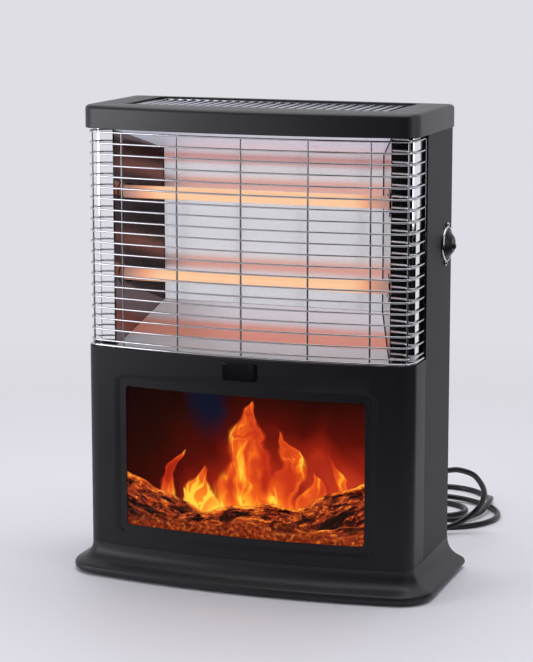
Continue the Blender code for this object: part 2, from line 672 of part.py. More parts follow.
def front_fascia():
    """Moulded lower front that wraps both corners, with a stepped border round its window."""
    back = SIDE_FRONT_Y - CLEAR
    plan = front_path(0.0, back) + list(reversed(front_path(FASCIA_WALL, back)))
    fascia = upright("front_fascia", [plan], PANEL_BOTTOM, FASCIA_TOP)
    pocket = bowed_block("window_pocket", WINDOW_HALF_WIDTH + POCKET_MARGIN,
                         WINDOW_BOTTOM - POCKET_MARGIN, WINDOW_TOP + POCKET_MARGIN,
                         -0.010, POCKET_DEPTH, POCKET_CORNER)
    combine(fascia, pocket, "DIFFERENCE")
    opening = rounded_block("window_opening", (-WINDOW_HALF_WIDTH, BODY_FRONT_Y - 0.02, WINDOW_BOTTOM),
                            (WINDOW_HALF_WIDTH, BOX_REAR_Y, WINDOW_TOP), WINDOW_CORNER, 1)
    combine(fascia, opening, "DIFFERENCE")
    keep(smooth(fascia), BLACK)


def window():
    """Clear pane and the printed flame screen behind it, both bent to the fascia's bow."""
    half = WINDOW_HALF_WIDTH + PANE_MARGIN
    low, high = WINDOW_BOTTOM - PANE_MARGIN, WINDOW_TOP + PANE_MARGIN
    inset = FASCIA_WALL + CLEAR
    pane = bowed_block("window_pane", half, low, high, inset, inset + PANE_THICKNESS, WINDOW_CORNER)
    keep(smooth(pane), ((0.05, 0.05, 0.05), 0.05, 0.0, 0.30))
    inset += PANE_THICKNESS + CLEAR
    screen = bowed_block("flame_screen", half, low, high, inset, inset + SCREEN_THICKNESS, WINDOW_CORNER)
    keep(smooth(screen), ((0.80, 0.20, 0.03), 0.50, 0.0, 1.0, 0.5))


def badge():
    """Plain gloss plate on the fascia above the window."""
    plate = bowed_block("badge_plate", BADGE_WIDTH / 2, BADGE_CENTRE_Z - BADGE_HEIGHT / 2,
                        BADGE_CENTRE_Z + BADGE_HEIGHT / 2, -CLEAR - BADGE_THICKNESS, -CLEAR, BADGE_CORNER)
    keep(plate, ((0.010, 0.010, 0.010), 0.10))


def light_box():
    """Open-fronted tray behind the flame screen, and the strip of lamps on its floor."""
    tray = block("light_box", (-BOX_HALF, BOX_FRONT_Y, BOX_BOTTOM), (BOX_HALF, BOX_REAR_Y, BOX_TOP))
    inside = block("box_inside", (-BOX_HALF + BOX_WALL, BOX_FRONT_Y - 0.01, BOX_BOTTOM + BOX_WALL),
                   (BOX_HALF - BOX_WALL, BOX_REAR_Y - BOX_WALL, BOX_TOP - BOX_WALL))
    combine(tray, inside, "DIFFERENCE")
    keep(tray, ((0.60, 0.60, 0.60), 0.60))
    bottom = BOX_BOTTOM + BOX_WALL + CLEAR
    middle = (BOX_FRONT_Y + BOX_REAR_Y) / 2
    board = block("lamp_board", (-BOARD_WIDTH / 2, middle - BOARD_DEPTH / 2, bottom),
                  (BOARD_WIDTH / 2, middle + BOARD_DEPTH / 2, bottom + BOARD_THICKNESS))
    lamps = []
    top = bottom + BOARD_THICKNESS
    for i in range(LED_COUNT):
        x = (i - (LED_COUNT - 1) / 2) * BOARD_WIDTH / LED_COUNT
        lamps.append(block("lamp", (x - LED_SIZE / 2, middle - LED_SIZE / 2, top - 0.0005),
                           (x + LED_SIZE / 2, middle + LED_SIZE / 2, top + LED_HEIGHT)))
    combine(board, join("lamps", lamps), "UNION")
    keep(board, ((0.04, 0.22, 0.08), 0.50))


def divider_shelf():
    """Steel shelf between the flame box and the heating chamber."""
    inset = FASCIA_WALL + CLEAR
    shelf = upright("divider_shelf", [front_path(inset, FLANGE_FRONT - CLEAR),
                                      circle(WIRE_HOLE_RADIUS, (HARNESS_HOLE_X, KNOB_Y), 20)],
                    SHELF_BOTTOM, SHELF_TOP)
    keep(shelf, BLACK)


def sheet(name, rows, thickness, paint):
    """A bent sheet, symmetric in X, through (half width, y, z) rows; it thickens downwards."""
    work = bmesh.new()
    left = [work.verts.new((-half, y, z)) for half, y, z in rows]
    right = [work.verts.new((half, y, z)) for half, y, z in rows]
    for i in range(len(rows) - 1):
        work.faces.new((left[i], right[i], right[i + 1], left[i + 1]))
    obj = from_bmesh(name, work)
    wall = obj.modifiers.new("wall", "SOLIDIFY")
    wall.thickness = thickness
    wall.offset = 0.0
    wall.use_even_offset = True
    keep(obj, paint)


def chamber_half(y):
    """Half width of the heating chamber at a given Y, inside the slanted end plates."""
    return CHAMBER_FRONT_HALF - END_SLOPE * (y - CHAMBER_FRONT_Y)


def reflectors():
    """Back, top and bottom mirrors of the heating chamber."""
    half = MIRROR_SHEET / 2
    side = MIRROR_END_GAP
    rear = CHAMBER_REAR_Y - half - CLEAR
    sheet("reflector_back",
          [(CHAMBER_REAR_HALF - side, CHAMBER_REAR_Y + half, BACK_BOTTOM_Z),
           (CHAMBER_REAR_HALF - side, CHAMBER_REAR_Y + half, BACK_TOP_Z)], MIRROR_SHEET, SATIN)
    apron_z = SHELF_TOP + CLEAR + half
    sheet("reflector_bottom",
          [(CHAMBER_FRONT_HALF - side, APRON_FRONT_Y, apron_z),
           (CHAMBER_FRONT_HALF - side, CHAMBER_FRONT_Y, apron_z),
           (chamber_half(rear) - side, rear, BACK_BOTTOM_Z - MIRROR_LAP)], MIRROR_SHEET, SATIN)
    sheet("reflector_top",
          [(CHAMBER_FRONT_HALF - side, CHAMBER_FRONT_Y, CHAMBER_TOP_Z),
           (chamber_half(rear) - side, rear, BACK_TOP_Z + MIRROR_LAP)], MIRROR_SHEET, SATIN)


def plate_place(sign, inward):
    """Frame of an end plate: local x runs back along the plate, local y runs up."""
    along = Vector((-sign * cos(END_ANGLE), sin(END_ANGLE), 0.0))
    up = Vector((0.0, 0.0, 1.0))
    normal = along.cross(up)
    origin = Vector((sign * CHAMBER_FRONT_HALF, CHAMBER_FRONT_Y, 0.0))
    inner = normal if normal.x * sign < 0 else -normal
    origin += inner * inward
    return Matrix.Translation(origin) @ Matrix((along, up, normal)).transposed().to_4x4()


def end_plates():
    """Slanted mirror ends of the chamber, each with a raised ring round both tube holes."""
    length = hypot(CHAMBER_FRONT_HALF - CHAMBER_REAR_HALF, CHAMBER_REAR_Y - CHAMBER_FRONT_Y)
    tube_at = (TUBE_Y - CHAMBER_FRONT_Y) / sin(END_ANGLE)
    hole = (TUBE_RADIUS + CLEAR + RING_HEIGHT) / sin(END_ANGLE)
    bottom = SHELF_TOP + CLEAR
    outline = [(0.0, bottom), (length, BACK_BOTTOM_Z - PLATE_BELOW_BACK), (length, BACK_TOP_Z),
               (0.0, CHAMBER_TOP_Z)]
    thickness = MIRROR_SHEET / 2 + RING_HEIGHT
    for side, sign in (("left", -1), ("right", 1)):
        holes = [circle(hole, (tube_at, z), 20) for z in (UPPER_TUBE_Z, LOWER_TUBE_Z)]
        plate = flat_outline(side + "_end_plate", [outline] + holes, MIRROR_SHEET,
                             plate_place(sign, 0.0))
        for z in (UPPER_TUBE_Z, LOWER_TUBE_Z):
            ring = flat_outline(side + "_ring", [circle(RING_RADIUS, (tube_at, z), 24),
                                                 circle(hole + 0.0010, (tube_at, z), 20)],
                                thickness, plate_place(sign, thickness / 2))
            combine(plate, ring, "UNION")
        keep(plate, SATIN)


def corner_mirrors():
    """Polished strips that close the gap between each end plate and side panel."""
    bend = MIRROR_BEND_RADIUS
    half = MIRROR_SHEET / 2
    for side, sign in (("left", -1), ("right", 1)):
        def run(offset):
            points = [(CHAMBER_FRONT_HALF + MIRROR_END_GAP, MIRROR_FLANGE_Y + offset)]
            for i in range(6):
                angle = radians(-90 + 90 * i / 5)
                points.append((MIRROR_SIDE_X - bend + (bend - offset) * cos(angle),
                               MIRROR_FLANGE_Y + bend + (bend - offset) * sin(angle)))
            points.append((MIRROR_SIDE_X - offset, MIRROR_REAR_Y))
            return points
        plan = run(-half) + list(reversed(run(half)))
        strip = upright(side + "_corner_mirror", [[(sign * x, y) for x, y in plan]],
                        SHELF_TOP + CLEAR, CHAMBER_TOP_Z)
        keep(smooth(strip), CHROME)


def heaters():
    """Two quartz tubes with their coiled elements, ceramic ends and steel brackets."""
    cup = TUBE_HALF_LENGTH - CERAMIC_CUP_DEPTH + CLEAR
    for level, z in (("upper", UPPER_TUBE_Z), ("lower", LOWER_TUBE_Z)):
        glass = turned(level + "_quartz_tube",
                       [(TUBE_RADIUS, -TUBE_HALF_LENGTH), (TUBE_RADIUS, TUBE_HALF_LENGTH),
                        (TUBE_BORE_RADIUS, TUBE_HALF_LENGTH), (TUBE_BORE_RADIUS, -TUBE_HALF_LENGTH)],
                       (0, TUBE_Y, z), (1, 0, 0), 24)
        keep(glass, ((1.0, 0.55, 0.25), 0.30, 0.0, 1.0, 1.0))
        lead = [(LEAD_RADIUS, LEAD_END_X), (LEAD_RADIUS, ELEMENT_HALF_LENGTH),
                (ELEMENT_RADIUS, ELEMENT_HALF_LENGTH - ELEMENT_TAPER)]
        profile = [(0.0, LEAD_END_X)] + lead
        profile += [(radius, -height) for radius, height in reversed(profile)]
        element = turned(level + "_element", profile, (0, TUBE_Y, z), (1, 0, 0), 12)
        keep(element, ((1.0, 0.30, 0.08), 0.50, 0.0, 1.0, 2.0))
        for side, sign in (("left", -1), ("right", 1)):
            end = turned("%s_%s_ceramic" % (level, side),
                         [(CERAMIC_RADIUS, 0.0), (TUBE_RADIUS + CLEAR, 0.0),
                          (TUBE_RADIUS + CLEAR, CERAMIC_CUP_DEPTH),
                          (LEAD_RADIUS + CLEAR, CERAMIC_CUP_DEPTH),
                          (LEAD_RADIUS + CLEAR, CERAMIC_LENGTH), (CERAMIC_RADIUS - 0.002, CERAMIC_LENGTH),
                          (CERAMIC_RADIUS, CERAMIC_LENGTH - 0.002)],
                         (sign * cup, TUBE_Y, z), (sign, 0, 0), 16)
            keep(end, CERAMIC)
    for side, sign in (("left", -1), ("right", 1)):
        frame = Matrix(((0, 0, 1), (1, 0, 0), (0, 1, 0))).to_4x4()
        place = Matrix.Translation((sign * (BRACKET_X + BRACKET_SHEET / 2), TUBE_Y, 0.0)) @ frame
        outline = [(-BRACKET_HALF_DEPTH, SHELF_TOP + CLEAR), (BRACKET_HALF_DEPTH, SHELF_TOP + CLEAR),
                   (BRACKET_HALF_DEPTH, CHAMBER_TOP_Z), (-BRACKET_HALF_DEPTH, CHAMBER_TOP_Z)]
        holes = [circle(CERAMIC_RADIUS + CLEAR, (0.0, z), 20) for z in (UPPER_TUBE_Z, LOWER_TUBE_Z)]
        keep(flat_outline(side + "_tube_bracket", [outline] + holes, BRACKET_SHEET, place), STEEL)


def thermal_cutout():
    """Overheat cut-out on the back of the rear mirror."""
    seat = CHAMBER_REAR_Y + MIRROR_SHEET + CLEAR
    made = turned("thermal_cutout", [(0.0, 0.0), (CUTOUT_RADIUS, 0.0), (CUTOUT_RADIUS, CUTOUT_HEIGHT),
                                     (CUTOUT_RADIUS * 0.6, CUTOUT_HEIGHT + CUTOUT_CROWN),
                                     (0.0, CUTOUT_HEIGHT + CUTOUT_CROWN)],
                  (CUTOUT_X, seat, CUTOUT_Z), (0, 1, 0), 20)
    keep(made, STEEL)


def wire_guard():
    """Welded wire guard: level rows on a heavier bottom wire, with uprights behind them."""
    end_y = SIDE_FRONT_Y - GUARD_END_GAP
    plan = front_path(GUARD_INSET, end_y, 6, 3)
    top_z = LAST_ROW_Z + (WIRE_ROWS - 1) * WIRE_PITCH
    rows = []
    for i in range(WIRE_ROWS):
        z = LAST_ROW_Z + i * WIRE_PITCH
        rows.append(welded(tube("row", [(x, y, z) for x, y in plan], WIRE_RADIUS, 0)))
    rows.append(welded(tube("row", [(x, y, FRAME_WIRE_Z) for x, y in plan], FRAME_WIRE_RADIUS, 1)))
    guard = join("wire_guard", rows)
    inset = GUARD_INSET + UPRIGHT_INSET
    places = []
    for x in UPRIGHT_XS:
        for sign in ((-1, 1) if x else (1,)):
            places.append((sign * x, bow_y(x, inset)))
    bend = CORNER_RADIUS - inset
    angle = radians(-GUARD_CORNER_ANGLE)
    for sign in (-1, 1):
        places.append((sign * (CORNER_X + bend * cos(angle)), CORNER_Y + bend * sin(angle)))
        places.append((sign * (HALF - GUARD_INSET), end_y))
    posts = []
    for x, y in places:
        posts.append(welded(tube("upright", [(x, y, FRAME_WIRE_Z), (x, y, top_z)], WIRE_RADIUS, 0)))
    combine(guard, join("guard_uprights", posts), "UNION")
    keep(guard, CHROME)


def top_cap():
    """Moulded cap over the panels, with rounded upper edges and the vent opening."""
    rear = REAR_Y
    sections = [(front_path(-CAP_LIP, rear), CAP_BOTTOM)]
    for angle in (0, 30, 60, 90):
        inward = CAP_EDGE_ROUND * (1 - cos(radians(angle)))
        z = TOTAL_HEIGHT - CAP_EDGE_ROUND * (1 - sin(radians(angle)))
        sections.append((front_path(-CAP_LIP + inward, rear - inward), z))
    cap = loft("top_cap", sections)
    wall = CAP_LIP - CAP_WALL
    inside = [(front_path(-wall, rear - CAP_WALL + 0.0004), CAP_BOTTOM - 0.01),
              (front_path(-wall, rear - CAP_WALL + 0.0004), TOTAL_HEIGHT - CAP_WALL)]
    combine(cap, loft("cap_hollow", inside), "DIFFERENCE")
    opening = rounded_block("vent_opening", (-VENT_HALF_WIDTH, VENT_FRONT_Y, CAP_BOTTOM),
                            (VENT_HALF_WIDTH, VENT_REAR_Y, TOTAL_HEIGHT + 0.01), VENT_CORNER, 2)
    combine(cap, opening, "DIFFERENCE")
    keep(smooth(cap), BLACK)


def top_grille():
    """Vent bars that run front to back between two rails under the cap."""
    top = TOTAL_HEIGHT - CAP_WALL - CLEAR
    end = VENT_HALF_WIDTH + RAIL_OVERHANG
    rails = [block("rail", (-end, VENT_FRONT_Y - RAIL_WIDTH, top - RAIL_HEIGHT), (end, VENT_FRONT_Y, top)),
             block("rail", (-end, VENT_REAR_Y, top - RAIL_HEIGHT), (end, VENT_REAR_Y + RAIL_WIDTH, top))]
    grille = join("top_grille", rails)
    count = int(2 * VENT_HALF_WIDTH / BAR_PITCH)
    bars = []
    for i in range(count):
        x = (i - (count - 1) / 2) * BAR_PITCH
        bars.append(rounded_block("bar", (x - BAR_WIDTH / 2, VENT_FRONT_Y - RAIL_WIDTH / 2, top - BAR_HEIGHT),
                                  (x + BAR_WIDTH / 2, VENT_REAR_Y + RAIL_WIDTH / 2, top - BAR_DROP),
                                  BAR_WIDTH * 0.25, 1, 1))
    combine(grille, join("grille_bars", bars), "UNION")
    keep(grille, CHROME)


def lug_places():
    """(y, z) of the bezel's two screw lugs, above and below the knob."""
    angle = radians(90 - LUG_ANGLE)
    step = (LUG_REACH * cos(angle), LUG_REACH * sin(angle))
    return [(KNOB_Y + step[0], KNOB_Z + step[1]), (KNOB_Y - step[0], KNOB_Z - step[1])]


def selector():
    """Rotary switch behind the side panel, its shaft and knob, and the chrome bezel."""
    centre = (0.0, KNOB_Y, KNOB_Z)
    half = SWITCH_SIZE / 2
    outer = SIDE_INNER - CLEAR
    switch = rounded_block("selector_switch", (outer - SWITCH_DEPTH, KNOB_Y - half, KNOB_Z - half),
                           (outer, KNOB_Y + half, KNOB_Z + half), 0.003, 0, 3)
    combine(switch, rod("switch_bore", (SHAFT_INNER_X - 0.001, KNOB_Y, KNOB_Z),
                        (outer + 0.001, KNOB_Y, KNOB_Z), SHAFT_RADIUS + RUN_CLEAR), "DIFFERENCE")
    keep(switch, ((0.70, 0.68, 0.62), 0.50))
    shaft_end = KNOB_FACE_X + SHAFT_IN_KNOB
    shaft = rod("selector_shaft", (SHAFT_INNER_X, KNOB_Y, KNOB_Z), (shaft_end, KNOB_Y, KNOB_Z), SHAFT_RADIUS)
    keep(shaft, STEEL)
    bore = SHAFT_RADIUS + CLEAR
    profile = [(bore, 0.0), (KNOB_RADIUS, 0.0), (KNOB_RADIUS, 0.0016),
               (KNOB_RADIUS - 0.0020, 0.0034), (KNOB_CROWN_RADIUS + 0.0012, KNOB_HEIGHT - 0.0010),
               (KNOB_CROWN_RADIUS, KNOB_HEIGHT), (KNOB_CROWN_RADIUS - 0.003, KNOB_HEIGHT - 0.0008),
               (0.0, KNOB_HEIGHT - 0.0012), (0.0, SHAFT_IN_KNOB + CLEAR), (bore, SHAFT_IN_KNOB + CLEAR)]
    knob = turned("selector_knob", profile, Vector(centre) + Vector((KNOB_FACE_X, 0, 0)), (1, 0, 0), 32)
    nub = turned("knob_nub", [(0.0, -0.003), (NUB_RADIUS, -0.003), (NUB_RADIUS, NUB_HEIGHT - 0.001),
                              (NUB_RADIUS - 0.001, NUB_HEIGHT), (0.0, NUB_HEIGHT)],
                 (KNOB_FACE_X + KNOB_HEIGHT, KNOB_Y, KNOB_Z - NUB_OFFSET), (1, 0, 0), 16)
    combine(knob, nub, "UNION")
    keep(knob, BLACK)
    bezel = turned("knob_bezel", [(BEZEL_BORE_RADIUS, 0.0), (BEZEL_RADIUS, 0.0),
                                  (BEZEL_RADIUS, BEZEL_HEIGHT * 0.55),
                                  (BEZEL_RADIUS - 0.0010, BEZEL_HEIGHT),
                                  (BEZEL_BORE_RADIUS + 0.0006, BEZEL_HEIGHT),
                                  (BEZEL_BORE_RADIUS, BEZEL_HEIGHT - 0.0006)],
                   Vector(centre) + Vector((KNOB_FACE_X, 0, 0)), (1, 0, 0), 40)
    lugs = []
    for y, z in lug_places():
        lugs.append(rod("lug", (KNOB_FACE_X, y, z), (KNOB_FACE_X + LUG_HEIGHT, y, z), LUG_RADIUS, 16))
    combine(bezel, join("bezel_lugs", lugs), "UNION")
    for y, z in lug_places():
        combine(bezel, rod("lug_bore", (KNOB_FACE_X - 0.001, y, z), (KNOB_FACE_X + 0.004, y, z),
                           LUG_SCREW_RADIUS + CLEAR, 12), "DIFFERENCE")
    keep(bezel, CHROME)
    for number, (y, z) in enumerate(lug_places()):
        screw("bezel_screw_%d" % (number + 1), (KNOB_FACE_X + LUG_HEIGHT + CLEAR, y, z), (1, 0, 0),
              LUG_SCREW_RADIUS, LUG_SCREW_HEAD_RADIUS)


def tip_switch():
    """Tip-over switch on the base floor, with the sprung plunger that feels the ground."""
    x, y = PLUNGER_X, PLUNGER_Y
    long, wide, tall = TIP_SWITCH_SIZE
    bottom = FLOOR_TOP + CLEAR
    body = rounded_block("tip_switch", (x - long / 2, y - wide / 2, bottom),
                         (x + long / 2, y + wide / 2, bottom + tall), 0.002, 2, 2)
    combine(body, rod("tip_bore", (x, y, bottom - 0.001), (x, y, bottom + TIP_BORE_HEIGHT),
                      PLUNGER_COLLAR_RADIUS + RUN_CLEAR), "DIFFERENCE")
    keep(body, DARK_GREY)
    collar_top = COLLAR_BOTTOM + PLUNGER_COLLAR_HEIGHT
    plunger = turned("tip_plunger",
                     [(0.0, 0.0), (PLUNGER_RADIUS - 0.0008, 0.0), (PLUNGER_RADIUS, 0.0008),
                      (PLUNGER_RADIUS, COLLAR_BOTTOM), (PLUNGER_COLLAR_RADIUS, COLLAR_BOTTOM),
                      (PLUNGER_COLLAR_RADIUS, collar_top), (PLUNGER_RADIUS, collar_top),
                      (PLUNGER_RADIUS, PLUNGER_HEIGHT), (0.0, PLUNGER_HEIGHT)], (x, y, 0.0), (0, 0, 1), 16)
    keep(plunger, ((0.80, 0.80, 0.78), 0.40))


def mains_entry():
    """Terminal block inside and the cord gland through the rear panel."""
    long, wide, tall = TERMINAL_SIZE
    bottom = FLOOR_TOP + CLEAR
    terminal = block("terminal_block", (TERMINAL_X - long / 2, TERMINAL_Y - wide / 2, bottom),
                     (TERMINAL_X + long / 2, TERMINAL_Y + wide / 2, bottom + tall))
    keep(terminal, CERAMIC)
    flange = REAR_PANEL_BACK + CLEAR
    tip = GLAND_FLANGE_HEIGHT + GLAND_BOOT_LENGTH
    profile = [(0.0, -GLAND_STEM_LENGTH), (GLAND_STEM_RADIUS, -GLAND_STEM_LENGTH),
               (GLAND_STEM_RADIUS, 0.0), (GLAND_FLANGE_RADIUS, 0.0),
               (GLAND_FLANGE_RADIUS, GLAND_FLANGE_HEIGHT), (GLAND_STEM_RADIUS, GLAND_FLANGE_HEIGHT),
               (GLAND_TIP_RADIUS, tip), (0.0, tip)]
    keep(turned("cord_gland", profile, (GLAND_X, flange, GLAND_Z), (0, 1, 0), 24), RUBBER)


def smooth_route(points, spacing):
    """Evenly spaced points on a smooth curve through a route's own points."""
    points = [Vector(p) for p in points]
    first = points[0] * 2 - points[1]
    last = points[-1] * 2 - points[-2]
    control = [first] + points + [last]
    fine = []
    for a, b, c, d in zip(control, control[1:], control[2:], control[3:]):
        for i in range(24):
            t = i / 24
            fine.append(0.5 * ((2 * b) + (c - a) * t + (2 * a - 5 * b + 4 * c - d) * t * t
                               + (3 * b - a - 3 * c + d) * t * t * t))
    fine.append(points[-1])
    return respaced(fine, spacing)


def respaced(fine, spacing):
    """The same line with points at equal steps along it."""
    lengths = [0.0]
    for a, b in zip(fine, fine[1:]):
        lengths.append(lengths[-1] + (b - a).length)
    count = max(2, int(round(lengths[-1] / spacing)))
    result, j = [], 0
    for i in range(count + 1):
        want = lengths[-1] * i / count
        while j < len(fine) - 2 and lengths[j + 1] < want:
            j += 1
        step = lengths[j + 1] - lengths[j]
        share = (want - lengths[j]) / step if step > 0 else 0.0
        result.append(fine[j].lerp(fine[j + 1], min(1.0, max(0.0, share))))
    return result


# Extremes of the loose loops in plan, from where the lead comes down: each loop runs from its
# near side to its left, far side and right, and the last one stops on its near side.
LOOP_EXTREMES = [(0.125, 0.2275), (0.018, 0.325), (0.113, 0.4496), (0.188, 0.3526),
                 (0.120, 0.2600), (0.045, 0.320), (0.125, 0.3896), (0.208, 0.3176),
                 (0.123, 0.2440), (0.070, 0.300), (0.120, 0.3660), (0.162, 0.3320),
                 (0.120, PLUG_Y)]
LEAD_POINTS = [(0.1600, 0.1500, 0.0950), (0.1660, 0.1680, 0.0955), (0.1785, 0.1866, 0.0950),
               (0.1880, 0.2010, 0.0925), (0.2020, 0.2180, 0.0830), (0.2095, 0.2350, 0.0640),
               (0.2080, 0.2470, 0.0480), (0.1990, 0.2530, 0.0310), (0.1850, 0.2440, 0.0185),
               (0.1660, 0.2330, 0.0090), (0.1450, 0.2280, 0.0045)]


def loop_plan():
    """Plan points of the loops: quarter ellipses between the extremes."""
    points = []
    for i, (a, b) in enumerate(zip(LOOP_EXTREMES, LOOP_EXTREMES[1:])):
        for j in range(16):
            turn = pi / 2 * j / 16
            if i % 2 == 0:
                x = a[0] + (b[0] - a[0]) * sin(turn)
                y = b[1] + (a[1] - b[1]) * cos(turn)
            else:
                x = b[0] + (a[0] - b[0]) * cos(turn)
                y = a[1] + (b[1] - a[1]) * sin(turn)
            points.append(Vector((x, y, 0.0)))
    points.append(Vector((*LOOP_EXTREMES[-1], 0.0)))
    return points


def laid(points, radius):
    """Give plan points their heights: each stretch lies over what was laid before it.

    The first point is the one laid first. A stretch rises in a long low hump to pass over an
    earlier one.
    """
    pitch = 2 * radius + CORD_GAP
    skip = int(4 * radius / CORD_FINE_STEP) + int(HUMP_REACH / CORD_FINE_STEP)
    result = []
    for i, point in enumerate(points):
        height = max(radius, point.z)
        for below in result[:max(0, i - skip)]:
            away = hypot(point.x - below.x, point.y - below.y)
            if away < HUMP_REACH:
                rise = (1 - (away / HUMP_REACH) ** 2) ** 2
                height = max(height, (below.z + pitch) * rise + radius * (1 - rise))
        result.append(Vector((point.x, point.y, height)))
    return result


def least_gap(line, diameter):
    """The least gap of a cord to itself, away from its own neighbouring points."""
    fine = respaced(line, CORD_FINE_STEP)
    skip = int(5 * diameter / CORD_FINE_STEP)
    least = 1.0
    for i, a in enumerate(fine):
        for b in fine[i + skip:]:
            least = min(least, (a - b).length_squared)
    return sqrt(least) - diameter


def cord():
    """The mains cord: its lead from the gland, the loose loops, the tail and the plug."""
    radius = CORD_DIAMETER / 2
    tail = [(PLUG_BOOT_X, PLUG_Y, PLUG_RADIUS), (PLUG_BOOT_X + 0.010, PLUG_Y, PLUG_RADIUS),
            (PLUG_BOOT_X + 0.040, PLUG_Y, 0.0095), (PLUG_BOOT_X + 0.075, PLUG_Y, radius),
            (PLUG_BOOT_X + 0.110, PLUG_Y, radius), (0.060, PLUG_Y, radius),
            (LOOP_EXTREMES[-1][0], PLUG_Y, radius)]
    tail_line = smooth_route(tail, CORD_FINE_STEP)
    loops = respaced(list(reversed(loop_plan())), CORD_FINE_STEP)
    gland_tip = REAR_PANEL_BACK + CLEAR + GLAND_FLANGE_HEIGHT + GLAND_BOOT_LENGTH
    lead = [(GLAND_X, gland_tip, GLAND_Z)] + LEAD_POINTS + [(*LOOP_EXTREMES[0], radius)]
    lead_line = list(reversed(smooth_route(lead, CORD_FINE_STEP)))
    fine = laid(tail_line + loops[1:] + lead_line[1:], radius)
    first, second = len(tail_line) - 1, len(tail_line) + len(loops) - 2
    runs = {"cord_tail": (0, first), "cord_coil": (first, second),
            "cord_lead": (second, len(fine) - 1)}
    whole = []
    for name, (start, end) in runs.items():
        ahead = (fine[start + 1] - fine[max(start - 1, 0)]).normalized()
        back = (fine[end - 1] - fine[min(end + 1, len(fine) - 1)]).normalized()
        gaps = [CLEAR if i in (0, len(fine) - 1) else CLEAR / 2 for i in (start, end)]
        line = respaced(fine[start:end + 1], CORD_STEP)
        line = ([line[0] + ahead * gaps[0], line[0] + ahead * CORD_DIAMETER] + line[1:-1]
                + [line[-1] + back * CORD_DIAMETER, line[-1] + back * gaps[1]])
        whole += line
        keep(welded(tube(name, line, radius, 1)), RUBBER)
    length = sum((b - a).length for a, b in zip(whole, whole[1:]))
    print("cord length %.3f m, least gap to itself %.2f mm"
          % (length, least_gap(whole, CORD_DIAMETER) * 1000))


def plug():
    """Moulded two-pin plug that lies on the floor behind the heater."""
    profile = [(0.0, 0.0), (PLUG_TIP_RADIUS, 0.0), (PLUG_TIP_RADIUS + 0.0015, PLUG_BOOT_LENGTH),
               (PLUG_RADIUS - 0.002, PLUG_BOOT_LENGTH + 0.012), (PLUG_RADIUS, PLUG_BOOT_LENGTH + 0.018),
               (PLUG_RADIUS, PLUG_BOOT_LENGTH + PLUG_BODY_LENGTH),
               (0.0, PLUG_BOOT_LENGTH + PLUG_BODY_LENGTH)]
    keep(turned("plug_body", profile, (PLUG_BOOT_X, PLUG_Y, PLUG_RADIUS), (-1, 0, 0), 24), RUBBER)
    face = PLUG_BOOT_X - PLUG_BOOT_LENGTH - PLUG_BODY_LENGTH - CLEAR
    for name, side in (("plug_pin_near", -1), ("plug_pin_far", 1)):
        y = PLUG_Y + side * PIN_SPACING / 2
        pin = rod(name, (face, y, PLUG_RADIUS), (face - PIN_LENGTH, y, PLUG_RADIUS), PIN_RADIUS, 12)
        keep(pin, CHROME)


def harness():
    """Inner wires: supply to the switch, switch to both tubes, and the link at the left."""
    lead = TUBE_Y + LEAD_RADIUS + CLEAR
    swing = TUBE_Y + WIRE_SWING
    bend = WIRE_BEND
    switch_x = SIDE_INNER - CLEAR - SWITCH_DEPTH / 2
    half = SWITCH_SIZE / 2 + CLEAR
    terminal_top = FLOOR_TOP + CLEAR + TERMINAL_SIZE[2] + CLEAR
    middle = (UPPER_TUBE_Z + LOWER_TUBE_Z) / 2
    runs = {
        "supply_wire": [(TERMINAL_X, TERMINAL_Y, terminal_top), (TERMINAL_X, TERMINAL_Y, SUPPLY_RISE),
                        (HARNESS_HOLE_X - SUPPLY_LEAN, KNOB_Y, (SUPPLY_RISE + SHELF_TOP) / 2 - bend),
                        (HARNESS_HOLE_X, KNOB_Y, SHELF_TOP - SUPPLY_BEND_DROP),
                        (HARNESS_HOLE_X, KNOB_Y, SHELF_TOP + bend),
                        (switch_x, KNOB_Y, KNOB_Z - half - 3 * bend),
                        (switch_x, KNOB_Y, KNOB_Z - half)],
        "upper_tube_wire": [(switch_x, KNOB_Y, KNOB_Z + half), (switch_x, KNOB_Y, KNOB_Z + half + bend),
                            (HARNESS_X, (KNOB_Y + swing) / 2, UPPER_TUBE_Z - bend),
                            (HARNESS_X, swing, UPPER_TUBE_Z),
                            (HARNESS_X, lead + bend, UPPER_TUBE_Z), (HARNESS_X, lead, UPPER_TUBE_Z)],
        "lower_tube_wire": [(switch_x, KNOB_Y - half, KNOB_Z), (switch_x, KNOB_Y - half - bend, KNOB_Z),
                            (HARNESS_X, swing + bend, LOWER_TUBE_Z + bend),
                            (HARNESS_X, lead + bend, LOWER_TUBE_Z), (HARNESS_X, lead, LOWER_TUBE_Z)],
        "link_wire": [(-HARNESS_X, lead, UPPER_TUBE_Z), (-HARNESS_X, lead + bend, UPPER_TUBE_Z),
                      (-HARNESS_X, swing, middle + 2 * bend), (-HARNESS_X, swing, middle),
                      (-HARNESS_X, swing, middle - 2 * bend),
                      (-HARNESS_X, lead + bend, LOWER_TUBE_Z), (-HARNESS_X, lead, LOWER_TUBE_Z)],
    }
    for name, route in runs.items():
        line = smooth_route(route, WIRE_SPACING)
        keep(welded(tube(name, line, HARNESS_RADIUS, 1)), ((0.50, 0.05, 0.04), 0.50))


base_skirt()
feet()
side_panels()
rear_panel()
rear_screws()
front_fascia()
window()
badge()
light_box()
divider_shelf()
reflectors()
end_plates()
corner_mirrors()
heaters()
thermal_cutout()
wire_guard()
top_cap()
top_grille()
selector()
tip_switch()
mains_entry()
cord()
plug()
harness()
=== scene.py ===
"""The electric heater's finished look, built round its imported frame."""

import math
from functools import partial

import bmesh
import bpy
from mathutils import Matrix, Vector


